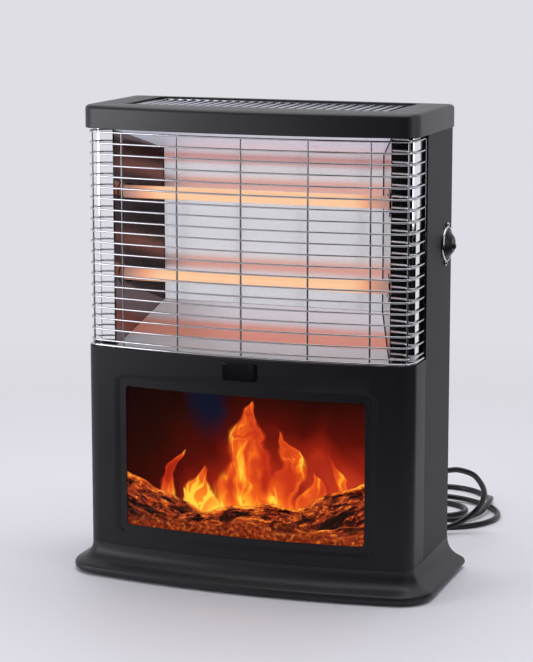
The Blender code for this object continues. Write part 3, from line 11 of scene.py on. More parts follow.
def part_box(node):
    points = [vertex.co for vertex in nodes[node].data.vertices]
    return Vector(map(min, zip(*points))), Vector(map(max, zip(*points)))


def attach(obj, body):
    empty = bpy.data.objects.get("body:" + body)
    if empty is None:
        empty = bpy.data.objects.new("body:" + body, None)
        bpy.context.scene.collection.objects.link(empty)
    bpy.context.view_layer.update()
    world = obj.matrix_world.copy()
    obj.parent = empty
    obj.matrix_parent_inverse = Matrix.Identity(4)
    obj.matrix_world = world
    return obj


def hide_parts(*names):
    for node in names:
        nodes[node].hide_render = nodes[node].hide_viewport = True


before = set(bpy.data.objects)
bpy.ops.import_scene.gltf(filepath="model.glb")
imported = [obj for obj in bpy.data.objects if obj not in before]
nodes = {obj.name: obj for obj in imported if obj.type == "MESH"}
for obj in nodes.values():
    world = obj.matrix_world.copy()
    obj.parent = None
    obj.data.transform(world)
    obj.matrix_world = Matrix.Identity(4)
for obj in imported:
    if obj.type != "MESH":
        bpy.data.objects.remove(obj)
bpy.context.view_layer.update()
bpy.ops.object.select_all(action="DESELECT")


# Camera. It stands at the photograph's viewpoint: a long lens from the right, a little above the
# heater's cap.
def in_scene(name, data):
    """A new object that holds the data, in the scene."""
    made = bpy.data.objects.new(name, data)
    bpy.context.scene.collection.objects.link(made)
    return made


camera_data = bpy.data.cameras.new("photo_camera")
camera_data.sensor_width = 36.0
camera_data.lens = 118.07
camera_data.shift_x = -0.0070
camera_data.shift_y = -0.0518
camera_data.clip_end = 100.0
camera = in_scene("photo_camera", camera_data)
camera.location = (0.8482, -2.3527, 0.7576)
camera.rotation_euler = (math.radians(80.36), math.radians(0.0), math.radians(19.60))
bpy.context.scene.camera = camera


# Mains cord. A black round flexible cord, 7 mm thick and 1.84 m long. It leaves the strain relief
# behind the right side, drops to the floor, lies there in loose loops and ends in its plug.
CORD_RADIUS = 0.0035
CORD_PITCH = 2 * CORD_RADIUS + 0.0018      # height gained where it passes over itself
CORD_HUMP = 0.0340                         # half length of the rise over a crossing
CORD_FINE = 0.002
CORD_STEP = 0.004
LOOP_EXTREMES = [(0.125, 0.2275), (0.018, 0.325), (0.113, 0.4496), (0.188, 0.3526),
                 (0.120, 0.2600), (0.045, 0.320), (0.125, 0.3896), (0.208, 0.3176),
                 (0.123, 0.2440), (0.070, 0.300), (0.120, 0.3660), (0.162, 0.3320),
                 (0.120, 0.2980)]
LEAD_POINTS = [(0.1600, 0.1500, 0.0950), (0.1660, 0.1680, 0.0955), (0.1785, 0.1866, 0.0950),
               (0.1880, 0.2010, 0.0925), (0.2020, 0.2180, 0.0830), (0.2095, 0.2350, 0.0640),
               (0.2080, 0.2470, 0.0480), (0.1990, 0.2530, 0.0310), (0.1850, 0.2440, 0.0185),
               (0.1660, 0.2330, 0.0090), (0.1450, 0.2280, 0.0045)]


def middle(box):
    """The middle of a node's box."""
    return [(low + high) / 2 for low, high in zip(*box)]


gland_box, plug_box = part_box("cord_gland"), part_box("plug_body")
gland_tip = Vector((middle(gland_box)[0], gland_box[1].y, middle(gland_box)[2]))
plug_tip = Vector((plug_box[1].x, *middle(plug_box)[1:]))


def spaced_line(line, spacing):
    """The same line with points at equal steps along it."""
    lengths = [0.0]
    for a, b in zip(line, line[1:]):
        lengths.append(lengths[-1] + (b - a).length)
    count = max(2, int(round(lengths[-1] / spacing)))
    result, j = [], 0
    for i in range(count + 1):
        want = lengths[-1] * i / count
        while j < len(line) - 2 and lengths[j + 1] < want:
            j += 1
        step = lengths[j + 1] - lengths[j]
        share = (want - lengths[j]) / step if step > 0 else 0.0
        result.append(line[j].lerp(line[j + 1], min(1.0, max(0.0, share))))
    return result


def flowing_line(points, spacing):
    """A smooth curve through a few points."""
    points = [Vector(p) for p in points]
    control = [points[0] * 2 - points[1]] + points + [points[-1] * 2 - points[-2]]
    fine = []
    for a, b, c, d in zip(control, control[1:], control[2:], control[3:]):
        for i in range(24):
            t = i / 24
            fine.append(0.5 * ((2 * b) + (c - a) * t + (2 * a - 5 * b + 4 * c - d) * t * t
                               + (3 * b - a - 3 * c + d) * t * t * t))
    fine.append(points[-1])
    return spaced_line(fine, spacing)


def cord_loops():
    """The loose loops in plan, as quarter ellipses between their extremes."""
    points = []
    for i, (a, b) in enumerate(zip(LOOP_EXTREMES, LOOP_EXTREMES[1:])):
        for j in range(16):
            turn = math.pi / 2 * j / 16
            if i % 2 == 0:
                x = a[0] + (b[0] - a[0]) * math.sin(turn)
                y = b[1] + (a[1] - b[1]) * math.cos(turn)
            else:
                x = b[0] + (a[0] - b[0]) * math.cos(turn)
                y = a[1] + (b[1] - a[1]) * math.sin(turn)
            points.append(Vector((x, y, 0.0)))
    points.append(Vector((*LOOP_EXTREMES[-1], 0.0)))
    return points


def laid_on_floor(points):
    """Each stretch lies on the floor, or in a long low hump over what was laid before it."""
    skip = int(4 * CORD_RADIUS / CORD_FINE) + int(CORD_HUMP / CORD_FINE)
    result = []
    for i, point in enumerate(points):
        height = max(CORD_RADIUS, point.z)
        for below in result[:max(0, i - skip)]:
            away = math.hypot(point.x - below.x, point.y - below.y)
            if away < CORD_HUMP:
                rise = (1 - (away / CORD_HUMP) ** 2) ** 2
                height = max(height, (below.z + CORD_PITCH) * rise + CORD_RADIUS * (1 - rise))
        result.append(Vector((point.x, point.y, height)))
    return result


tail = [plug_tip, plug_tip + Vector((0.010, 0, 0)), (plug_tip.x + 0.040, plug_tip.y, 0.0095),
        (plug_tip.x + 0.075, plug_tip.y, CORD_RADIUS), (plug_tip.x + 0.110, plug_tip.y, CORD_RADIUS),
        (0.060, plug_tip.y, CORD_RADIUS), (*LOOP_EXTREMES[-1], CORD_RADIUS)]
lead = [gland_tip] + LEAD_POINTS + [(*LOOP_EXTREMES[0], CORD_RADIUS)]
cord_line = laid_on_floor(flowing_line(tail, CORD_FINE)
                          + spaced_line(list(reversed(cord_loops())), CORD_FINE)[1:]
                          + list(reversed(flowing_line(lead, CORD_FINE)))[1:])
cord_line = spaced_line(list(reversed(cord_line)), CORD_STEP)
cord_data = bpy.data.curves.new("mains_cord", "CURVE")
cord_data.dimensions = "3D"
cord_data.bevel_depth = 1.0               # each point's radius gives the thickness
cord_data.bevel_resolution = 4
cord_data.use_fill_caps = True
cord_spline = cord_data.splines.new("POLY")
cord_spline.points.add(len(cord_line) - 1)
for spline_point, place in zip(cord_spline.points, cord_line):
    spline_point.co = (*place, 1.0)
    spline_point.radius = CORD_RADIUS
cord_spline.use_smooth = True
mains_cord = in_scene("mains_cord", cord_data)
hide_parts("cord_lead", "cord_coil", "cord_tail")
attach(mains_cord, "heater")


# Strain relief. A moulded rubber boot, pressed into the rear panel, that tapers along the cord and
# has flexing grooves round it.
RUBBER_BLACK = (0.012, 0.012, 0.013)


def maths(tree, operation, *values):
    """A maths node with numbers or sockets as its values."""
    node = tree.nodes.new("ShaderNodeMath")
    node.operation = operation
    for socket, value in zip(node.inputs, values):
        if isinstance(value, (int, float)):
            socket.default_value = value
        else:
            tree.links.new(value, socket)
    return node.outputs[0]


def fine_grain_group():
    """Shader group: cloudy roughness and a fine moulded or painted grain, by a piece's own values."""
    group = bpy.data.node_groups.new("fine_grain", "ShaderNodeTree")
    for way, name, kind in (("INPUT", "Colour", "Color"), ("INPUT", "Grain Scale", "Float"),
                            ("INPUT", "Cloud Scale", "Float"), ("INPUT", "Roughness", "Float"),
                            ("INPUT", "Spread", "Float"), ("INPUT", "Tone", "Float"),
                            ("OUTPUT", "Colour", "Color"), ("OUTPUT", "Roughness", "Float"),
                            ("OUTPUT", "Height", "Float")):
        group.interface.new_socket(name, in_out=way, socket_type="NodeSocket" + kind)
    given = group.nodes.new("NodeGroupInput").outputs
    result = group.nodes.new("NodeGroupOutput").inputs
    place = group.nodes.new("ShaderNodeTexCoord").outputs["Object"]
    patterns = []
    for scale, detail in (("Grain Scale", 2.0), ("Cloud Scale", 4.0)):
        pattern = group.nodes.new("ShaderNodeTexNoise")
        pattern.inputs["Detail"].default_value = detail
        group.links.new(place, pattern.inputs["Vector"])
        group.links.new(given[scale], pattern.inputs["Scale"])
        patterns.append(pattern.outputs["Fac"])
    grain, clouds = patterns
    centred = maths(group, "SUBTRACT", clouds, 0.5)
    tinted = group.nodes.new("ShaderNodeVectorMath")
    tinted.operation = "SCALE"
    group.links.new(given["Colour"], tinted.inputs[0])
    group.links.new(maths(group, "MULTIPLY_ADD", centred, given["Tone"], 1.0), tinted.inputs["Scale"])
    rough = maths(group, "MULTIPLY_ADD", centred, given["Spread"], given["Roughness"])
    group.links.new(tinted.outputs[0], result["Colour"])
    group.links.new(rough, result["Roughness"])
    group.links.new(grain, result["Height"])
    return group


fine_grain = fine_grain_group()


def plain_finish(name, values):
    """A new finish with values on its shader's sockets; its node tree and shader come with it."""
    finish = bpy.data.materials.new(name)
    finish.use_nodes = True
    shader = finish.node_tree.nodes["Principled BSDF"]
    for socket, value in values.items():
        shader.inputs[socket].default_value = (*value, 1.0) if isinstance(value, tuple) else value
    return finish, finish.node_tree, shader


def grained_finish(name, colour, roughness, grain_scale, grain_depth, cloud_scale=18.0, spread=0.08,
                   tone=0.10, metallic=0.0, specular=0.5):
    """A finish with its own colour, gloss and grain."""
    finish, tree, shader = plain_finish(name, {"Metallic": metallic, "Specular IOR Level": specular})
    grain = tree.nodes.new("ShaderNodeGroup")
    grain.node_tree = fine_grain
    for socket, value in (("Colour", (*colour, 1.0)), ("Grain Scale", grain_scale),
                          ("Cloud Scale", cloud_scale), ("Roughness", roughness), ("Spread", spread),
                          ("Tone", tone)):
        grain.inputs[socket].default_value = value
    bump = tree.nodes.new("ShaderNodeBump")
    bump.inputs["Strength"].default_value = 0.6
    bump.inputs["Distance"].default_value = grain_depth
    tree.links.new(grain.outputs["Colour"], shader.inputs["Base Color"])
    tree.links.new(grain.outputs["Roughness"], shader.inputs["Roughness"])
    tree.links.new(grain.outputs["Height"], bump.inputs["Height"])
    tree.links.new(bump.outputs["Normal"], shader.inputs["Normal"])
    return finish


def finished(piece, node_names, finish, body="heater"):
    """Give a piece its finish, and its place in the heater."""
    piece.data.materials.clear()
    piece.data.materials.append(finish)
    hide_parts(*node_names)
    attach(piece, body)


def select_only(piece):
    """Select one piece and make it the active one."""
    bpy.ops.object.select_all(action="DESELECT")
    piece.select_set(True)
    bpy.context.view_layer.objects.active = piece


def smooth_by_angle(piece, angle=30.0):
    """Smooth shading, with an edge wherever the faces meet at more than the angle."""
    select_only(piece)
    bpy.ops.object.shade_smooth_by_angle(angle=math.radians(angle))


def turned_piece(name, profile, start, direction, steps):
    """A profile of (radius, height) points, spun about a line from start."""
    bpy.ops.object.select_all(action="DESELECT")
    bpy.ops.mesh.primitive_circle_add(vertices=len(profile), fill_type="NOTHING")
    piece = bpy.context.object
    piece.name = piece.data.name = name
    for vertex, (radius, height) in zip(piece.data.vertices, profile):
        vertex.co = (radius, 0.0, height)
    bpy.ops.object.mode_set(mode="EDIT")
    bpy.ops.mesh.select_all(action="SELECT")
    bpy.ops.mesh.spin(steps=steps, angle=2 * math.pi, center=(0, 0, 0), axis=(0, 0, 1))
    bpy.ops.mesh.select_all(action="SELECT")
    bpy.ops.mesh.remove_doubles(threshold=0.000002)
    bpy.ops.mesh.delete_loose(use_verts=True, use_edges=True, use_faces=False)
    bpy.ops.mesh.select_all(action="SELECT")
    bpy.ops.mesh.normals_make_consistent(inside=False)
    bpy.ops.object.mode_set(mode="OBJECT")
    turn = Vector(direction).to_track_quat("Z", "Y").to_matrix().to_4x4()
    piece.data.transform(Matrix.Translation(start) @ turn)
    smooth_by_angle(piece)
    return piece


rubber_finish = grained_finish("moulded_rubber", RUBBER_BLACK, 0.62, 700.0, 0.00006, 30.0, 0.12)
mains_cord.data.materials.append(grained_finish("cord_sheath", (0.0040, 0.0040, 0.0048), 0.30, 500.0,
                                                0.00003, 25.0, 0.12))
GLAND_FLANGE = 0.0090
GLAND_BOOT = 0.0064
GLAND_MOUTH = 0.0048
GLAND_GROOVES = 6
MOULD_GAP = 0.0002                         # the rubber stands this far off the cord
MOUTH_DEPTH = 0.0030                       # how deep the cord goes into a moulding
boot_start = gland_box[0].y + 0.0080        # face of the rear panel
boot_length = gland_tip.y - boot_start
profile = [(0.0, -0.0080), (0.0058, -0.0080), (0.0063, -0.0074), (0.0063, 0.0),
           (GLAND_FLANGE - 0.0004, 0.0), (GLAND_FLANGE, 0.0004), (GLAND_FLANGE, 0.0018),
           (GLAND_FLANGE - 0.0007, 0.0025), (GLAND_BOOT + 0.0006, 0.0025), (GLAND_BOOT, 0.0031)]
for groove in range(GLAND_GROOVES):
    share = (groove + 0.55) / (GLAND_GROOVES + 0.35)
    height = 0.0045 + (boot_length - 0.0075) * share
    radius = GLAND_BOOT + (GLAND_MOUTH - GLAND_BOOT) * share
    profile += [(radius, height - 0.0012), (radius - 0.0009, height - 0.0008),
                (radius - 0.0009, height + 0.0008), (radius - 0.0001, height + 0.0012)]
profile += [(GLAND_MOUTH, boot_length - 0.0008), (GLAND_MOUTH - 0.0006, boot_length),
            (CORD_RADIUS + MOULD_GAP, boot_length), (CORD_RADIUS + MOULD_GAP, boot_length - MOUTH_DEPTH),
            (0.0, boot_length - MOUTH_DEPTH)]
strain_relief = turned_piece("strain_relief", profile, (gland_tip.x, boot_start, gland_tip.z),
                             (0, 1, 0), 40)
finished(strain_relief, ["cord_gland"], rubber_finish)


# Plug. Moulded on the cord in black rubber: a grooved boot, a round body with a grip each side and
# a flat face that holds two nickel-plated pins.
PLUG_GROOVES = 4
PLUG_RADIUS = (plug_box[1].z - plug_box[0].z) / 2
plug_length = plug_box[1].x - plug_box[0].x
profile = [(0.0, MOUTH_DEPTH), (CORD_RADIUS + MOULD_GAP, MOUTH_DEPTH), (CORD_RADIUS + MOULD_GAP, 0.0),
           (0.0044, 0.0), (0.0048, 0.0006)]
for groove in range(PLUG_GROOVES):
    height = 0.0040 + 0.0042 * groove
    radius = 0.0049 + 0.0003 * groove
    profile += [(radius, height - 0.0010), (radius - 0.0008, height - 0.0007),
                (radius - 0.0008, height + 0.0007), (radius + 0.0001, height + 0.0010)]
profile += [(0.0064, 0.0215), (0.0080, 0.0250), (0.0118, 0.0300), (PLUG_RADIUS - 0.0020, 0.0340),
            (PLUG_RADIUS - 0.0006, 0.0372), (PLUG_RADIUS, 0.0405), (PLUG_RADIUS, plug_length - 0.0140),
            (PLUG_RADIUS - 0.0008, plug_length - 0.0130), (PLUG_RADIUS - 0.0008, plug_length - 0.0110),
            (PLUG_RADIUS, plug_length - 0.0100), (PLUG_RADIUS, plug_length - 0.0012),
            (PLUG_RADIUS - 0.0012, plug_length), (0.0, plug_length)]
plug_moulding = turned_piece("plug_moulding", profile, plug_tip, (-1, 0, 0), 48)
finished(plug_moulding, ["plug_body"], rubber_finish)
nickel_finish = grained_finish("nickel_plate", (0.70, 0.69, 0.66), 0.22, 400.0, 0.00001, 60.0, 0.10,
                               0.05, 1.0)
for pin_name in ("plug_pin_near", "plug_pin_far"):
    low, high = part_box(pin_name)
    radius = (high.z - low.z) / 2
    length = high.x - low.x
    pin = turned_piece(pin_name + "_turned",
                       [(0.0, 0.0), (radius, 0.0), (radius, length - 0.0020),
                        (radius * 0.80, length - 0.0006), (radius * 0.45, length), (0.0, length)],
                       (high.x, *middle((low, high))[1:]), (-1, 0, 0), 24)
    finished(pin, [pin_name], nickel_finish)


# Base. A black moulded skirt with a flared, rolled lip round its front and sides, hollow inside.
# Four posts inside it carry the light box.
BODY_HALF = 0.200
BODY_SAG = 0.0196
BODY_CORNER = 0.020
FLARE = 0.0220
FLARE_RADIUS = 0.0205
base_low, base_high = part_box("base_skirt")
body_rear = base_high.y
body_front = base_low.y + FLARE
bow_radius = (BODY_HALF ** 2 + BODY_SAG ** 2) / (2 * BODY_SAG)
bow_centre = body_front + bow_radius
corner_x = BODY_HALF - BODY_CORNER
corner_y = bow_centre - math.sqrt((bow_radius - BODY_CORNER) ** 2 - corner_x ** 2)
half_angle = math.pi / 2 - math.acos(corner_x / (bow_radius - BODY_CORNER))
bow_length = bow_radius * half_angle
corner_length = BODY_CORNER * (math.pi / 2 - half_angle)


def front_line(inset, bow_steps=36, corner_steps=12):
    """Plan of the bowed front and both round corners, from left to right, at an inset."""
    radius = BODY_CORNER - inset
    start = math.atan2(corner_y - bow_centre, corner_x)
    right = []
    for i in range(corner_steps + 1):
        angle = start * (1 - i / corner_steps)
        right.append((corner_x + radius * math.cos(angle), corner_y + radius * math.sin(angle)))
    bow = []
    for i in range(1, bow_steps):
        angle = -math.pi / 2 - half_angle + 2 * half_angle * i / bow_steps
        out = bow_radius - inset
        bow.append((out * math.cos(angle), bow_centre + out * math.sin(angle)))
    return [(-x, y) for x, y in reversed(right)] + bow + right


def body_plan(inset, rear, rear_round=0.0):
    """The body's whole plan outline at an inset, with its rear edge at rear."""
    half = BODY_HALF - inset
    if rear_round <= 0.0:
        return [(-half, rear)] + front_line(inset) + [(half, rear)]
    corner = []
    for i in range(5):
        turn = math.pi / 2 * i / 4
        corner.append((half - rear_round * (1 - math.cos(turn)),
                       rear - rear_round * (1 - math.sin(turn))))
    return [(-x, y) for x, y in reversed(corner)] + front_line(inset) + corner


def nearest_place(outline, place):
    """Which point of a plan outline lies at a place."""
    return min(range(len(outline)),
               key=lambda i: (outline[i][0] - place[0]) ** 2 + (outline[i][1] - place[1]) ** 2)


def pulled_up(name, sections):
    """A plan outline drawn at its height, then pulled through the other sections."""
    bpy.ops.object.select_all(action="DESELECT")
    outline, height = sections[0]
    bpy.ops.mesh.primitive_circle_add(vertices=len(outline), fill_type="NGON")
    piece = bpy.context.object
    piece.name = piece.data.name = name
    for vertex, (x, y) in zip(piece.data.vertices, outline):
        vertex.co = (x, y, height)
    bpy.ops.object.mode_set(mode="EDIT")
    bpy.ops.mesh.select_all(action="SELECT")
    for (before, low), (after, high) in zip(sections, sections[1:]):
        bpy.ops.mesh.extrude_region_move()
        mesh = bmesh.from_edit_mesh(piece.data)
        for vertex in mesh.verts:
            if vertex.select:
                vertex.co = (*after[nearest_place(before, vertex.co)], high)
        bmesh.update_edit_mesh(piece.data)
    bpy.ops.mesh.select_all(action="SELECT")
    bpy.ops.mesh.normals_make_consistent(inside=False)
    bpy.ops.object.mode_set(mode="OBJECT")
    smooth_by_angle(piece)
    return piece


MOULDED_BLACK = (0.0100, 0.0100, 0.0130)


def moulded_black(name, colour, specular):
    """The black of the mouldings, each with its own gloss."""
    return grained_finish(name, colour, 0.42, 1400.0, 0.00005, 9.0, 0.06, 0.12, specular=specular)


SKIRT_WALL = 0.0025
SKIRT_FLOOR = 0.0025
SKIRT_TOP = 0.0360
SKIRT_RIM = 0.0020
flare_top = SKIRT_TOP - SKIRT_RIM
FLARE_END = math.radians(66.0)
LIP_ROLL = 0.0060
curl_in = 1 - math.cos(FLARE_END)
straight = (FLARE - (FLARE_RADIUS + LIP_ROLL) * curl_in) / math.sin(FLARE_END)
roll_z = flare_top - (FLARE_RADIUS + LIP_ROLL) * math.sin(FLARE_END) - straight * math.cos(FLARE_END)
lip_under = 0.9 * (roll_z - base_low.z)
sections = [(body_plan(-FLARE + 0.8 * lip_under, body_rear), base_low.z)]
for degrees in range(20, 91, 14):
    turn = math.radians(degrees)
    out = FLARE - lip_under + lip_under * math.sin(turn)
    sections.append((body_plan(-out, body_rear), base_low.z + lip_under * (1 - math.cos(turn))))
for degrees in range(0, 67, 11):
    turn = math.radians(degrees)
    out = FLARE - LIP_ROLL + LIP_ROLL * math.cos(turn)
    sections.append((body_plan(-out, body_rear), roll_z + LIP_ROLL * math.sin(turn)))
for degrees in range(66, -1, -6):
    turn = math.radians(degrees)
    out = FLARE_RADIUS * (1 - math.cos(turn))
    sections.append((body_plan(-out, body_rear), flare_top - FLARE_RADIUS * math.sin(turn)))
sections += [(body_plan(0.0, body_rear), SKIRT_TOP),
             (body_plan(SKIRT_WALL, body_rear - SKIRT_WALL), SKIRT_TOP),
             (body_plan(SKIRT_WALL, body_rear - SKIRT_WALL), base_low.z + SKIRT_FLOOR)]
flared_base = pulled_up("flared_base", sections)
POST_RADIUS = 0.0060
POST_GAP = 0.0003                          # between a post's top and the light box
box_low, box_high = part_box("light_box")
post_foot = base_low.z + SKIRT_FLOOR - 0.0005
post_tall = box_low.z - POST_GAP - post_foot
posts = []
for side in (-1, 1):
    for y in (box_low.y + POST_RADIUS + 0.004, box_high.y - POST_RADIUS - 0.002):
        profile = [(0.0, 0.0), (POST_RADIUS + 0.002, 0.0), (POST_RADIUS, 0.003), (POST_RADIUS, post_tall),
                   (0.0, post_tall)]
        posts.append(turned_piece("light_box_post", profile,
                                  (side * (box_high.x - 2 * POST_RADIUS), y, post_foot), (0, 0, 1), 24))


def joined(piece, others):
    """Join like pieces into one."""
    bpy.ops.object.select_all(action="DESELECT")
    for other in others:
        other.select_set(True)
    piece.select_set(True)
    bpy.context.view_layer.objects.active = piece
    bpy.ops.object.join()
    return piece


def with_modifier(piece, kind, **values):
    """Add a modifier with its values and apply it."""
    select_only(piece)
    step = piece.modifiers.new(kind.lower(), kind)
    for name, value in values.items():
        setattr(step, name, value)
    bpy.ops.object.modifier_apply(modifier=step.name)
    return piece


def cut_out(piece, tool):
    """Cut a shape out of a piece, and throw the shape away."""
    with_modifier(piece, "BOOLEAN", operation="DIFFERENCE", object=tool, solver="EXACT")
    bpy.data.objects.remove(tool, do_unlink=True)
    return piece


PLUNGER_HOLE = 0.0041
plunger_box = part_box("tip_plunger")
plunger_axis = middle(plunger_box)[:2]
hole = turned_piece("plunger_hole", [(0.0, 0.0), (PLUNGER_HOLE, 0.0), (PLUNGER_HOLE, 0.01), (0.0, 0.01)],
                    (*plunger_axis, -0.001), (0, 0, 1), 32)
cut_out(flared_base, hole)
joined(flared_base, posts)
smooth_by_angle(flared_base)
finished(flared_base, ["base_skirt"], moulded_black("moulded_black", MOULDED_BLACK, 0.46))


# Feet. Four soft rubber discs with a shallow ring groove in the tread, pressed into the base.
for foot_name in ("foot_front_left", "foot_front_right", "foot_rear_left", "foot_rear_right"):
    low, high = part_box(foot_name)
    radius, tall = (high.x - low.x) / 2, high.z - low.z
    profile = [(0.0, 0.0), (radius - 0.0038, 0.0), (radius - 0.0034, 0.0005), (radius - 0.0026, 0.0005),
               (radius - 0.0022, 0.0), (radius - 0.0006, 0.0), (radius, 0.0006), (radius, tall),
               (0.0, tall)]
    foot = turned_piece(foot_name + "_tread", profile, (*middle((low, high))[:2], low.z), (0, 0, 1), 36)
    finished(foot, [foot_name], rubber_finish)


def refinish(node_names, finish):
    """A node whose CAD shape is right keeps it and gets its real finish."""
    for name in node_names:
        nodes[name].data.materials.clear()
        nodes[name].data.materials.append(finish)


# Parts inside the base. The tip-over switch is a dark moulded case with a white sprung pin that
# feels the floor, and the terminal block is a pale ceramic.
white_pin_finish = grained_finish("white_moulding", (0.72, 0.72, 0.70), 0.38, 900.0, 0.00003, 30.0)
case_finish = grained_finish("dark_moulding", (0.035, 0.035, 0.038), 0.50, 1100.0, 0.00004, 25.0)
ceramic_finish = grained_finish("bare_ceramic", (0.66, 0.62, 0.55), 0.68, 1500.0, 0.00005, 80.0,
                                0.08, 0.16)
PIN_RADIUS, COLLAR_RADIUS = 0.0040, 0.0055
tall = plunger_box[1].z - plunger_box[0].z
profile = [(0.0, 0.0), (0.0026, 0.0), (0.0035, 0.0004), (PIN_RADIUS, 0.0012), (PIN_RADIUS, 0.0095),
           (COLLAR_RADIUS, 0.0095), (COLLAR_RADIUS, 0.0115), (PIN_RADIUS, 0.0115),
           (PIN_RADIUS, tall - 0.0006), (0.0034, tall), (0.0, tall)]
sprung_pin = turned_piece("sprung_pin", profile, (*plunger_axis, plunger_box[0].z), (0, 0, 1), 40)
finished(sprung_pin, ["tip_plunger"], white_pin_finish, "plunger")
refinish(["tip_switch"], case_finish)
refinish(["terminal_block"], ceramic_finish)


# Sides and back. Folded steel sheet with a matte dark grey powder coat; the back is slotted to let
# air in and is held by four zinc-plated screws.
powder_coat = grained_finish("powder_coat", (0.016, 0.016, 0.0195), 0.50, 1800.0, 0.00005, 7.0, 0.06,
                             specular=0.20)
refinish(["left_side_panel", "right_side_panel", "rear_panel"], powder_coat)
zinc_finish = grained_finish("zinc_plate", (0.62, 0.62, 0.63), 0.30, 900.0, 0.00002, 250.0, 0.16,
                             0.12, 1.0)
SCREW_HEAD = 0.0014                       # height of a screw's head


def cross_head_screw(name, node_name, seat, direction, radius, head_radius, finish):
    """A pan-head screw with a cross recess."""
    tall = SCREW_HEAD
    profile = [(0.0, -0.0045), (radius * 0.7, -0.0045), (radius, -0.0038), (radius, 0.0),
               (head_radius, 0.0), (head_radius, tall * 0.40), (head_radius * 0.90, tall * 0.72),
               (head_radius * 0.62, tall * 0.94), (head_radius * 0.3, tall), (0.0, tall)]
    made = turned_piece(name, profile, (0, 0, 0), (0, 0, 1), 32)
    for turn in (0.0, math.pi / 2):
        bpy.ops.object.select_all(action="DESELECT")
        bpy.ops.mesh.primitive_cube_add(size=1.0)
        slot_cut = bpy.context.object
        slot_cut.data.transform(Matrix.Translation((0, 0, tall)) @ Matrix.Rotation(turn, 4, "Z")
                                @ Matrix.Diagonal((head_radius * 1.1, head_radius * 0.22, tall, 1.0)))
        cut_out(made, slot_cut)
    turn = Vector(direction).to_track_quat("Z", "Y").to_matrix().to_4x4()
    made.data.transform(Matrix.Translation(seat) @ turn)
    smooth_by_angle(made)
    finished(made, [node_name], finish)


for screw_name in ("rear_screw_lower_left", "rear_screw_upper_left", "rear_screw_lower_right",
                   "rear_screw_upper_right"):
    low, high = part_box(screw_name)
    x, _, z = middle((low, high))
    cross_head_screw(screw_name + "_head", screw_name, (x, high.y - SCREW_HEAD, z), (0, 1, 0), 0.0014,
                     (high.x - low.x) / 2, zinc_finish)


# Light box. A plain light tray behind the window, with a green board and its lamps on the floor.
refinish(["light_box"],
         grained_finish("tray_moulding", (0.52, 0.52, 0.51), 0.60, 900.0, 0.00004, 20.0))
refinish(["lamp_board"],
         grained_finish("board_green", (0.03, 0.17, 0.07), 0.42, 1200.0, 0.00002, 60.0, 0.10))


# Flame screen. A thin translucent film behind the window, printed with a plain log fire and lit
# from behind.
SCREEN_INSET = 0.0046
SCREEN_SHEET = 0.0008
PICTURE_BOTTOM = 0.0625                   # where the window's lower edge shows the picture's foot
PICTURE_TALL = 0.1685                     # the flames and logs are placed in shares of this


def front_place(along, inset):
    """Where a length along the body's outer front, from its middle, falls in plan."""
    side, distance = math.copysign(1.0, along), abs(along)
    if distance <= bow_length:
        angle, out = distance / bow_radius, bow_radius - inset
        return (side * out * math.sin(angle), bow_centre - out * math.cos(angle))
    distance -= bow_length
    if distance <= corner_length:
        angle, out = half_angle + distance / BODY_CORNER, BODY_CORNER - inset
        return (side * (corner_x + out * math.sin(angle)), corner_y - out * math.cos(angle))
    return (side * (BODY_HALF - inset), corner_y + distance - corner_length)


def along_front(x):
    """Length along the bowed front to a point that is x from the middle."""
    return math.copysign(bow_radius * math.asin(min(1.0, abs(x) / bow_radius)), x)


def rounded_outline(half, bottom, top, radius, steps=8):
    """A rectangle with round corners, in length along the front and height."""
    points = []
    side, low, high = half - radius, bottom + radius, top - radius
    for centre_x, centre_z, start in ((side, high, 0), (-side, high, 90), (-side, low, 180),
                                      (side, low, 270)):
        for i in range(steps + 1):
            angle = math.radians(start + 90 * i / steps)
            points.append((centre_x + radius * math.cos(angle), centre_z + radius * math.sin(angle)))
    return points


def made_mesh(name, drawn):
    """A drawn curve as a mesh piece."""
    select_only(in_scene(name, drawn))
    bpy.ops.object.convert(target="MESH")
    return bpy.context.object


def flat_sheet(name, outlines):
    """A flat sheet from drawn outlines; an inner outline is an opening."""
    drawn = bpy.data.curves.new(name, "CURVE")
    drawn.dimensions = "2D"
    drawn.fill_mode = "FRONT"
    for outline in outlines:
        spline = drawn.splines.new("POLY")
        spline.points.add(len(outline) - 1)
        for point, (x, z) in zip(spline.points, outline):
            point.co = (x, z, 0.0, 1.0)
        spline.use_cyclic_u = True
    return made_mesh(name, drawn)


def faced_towards(piece, direction):
    """Make a sheet's normals agree, and turn them round if most face the other way."""
    bpy.ops.object.mode_set(mode="EDIT")
    bpy.ops.mesh.select_all(action="SELECT")
    bpy.ops.mesh.normals_make_consistent(inside=False)
    bpy.ops.object.mode_set(mode="OBJECT")
    if sum(face.normal.dot(direction) * face.area for face in piece.data.polygons) < 0:
        bpy.ops.object.mode_set(mode="EDIT")
        bpy.ops.mesh.flip_normals()
        bpy.ops.object.mode_set(mode="OBJECT")


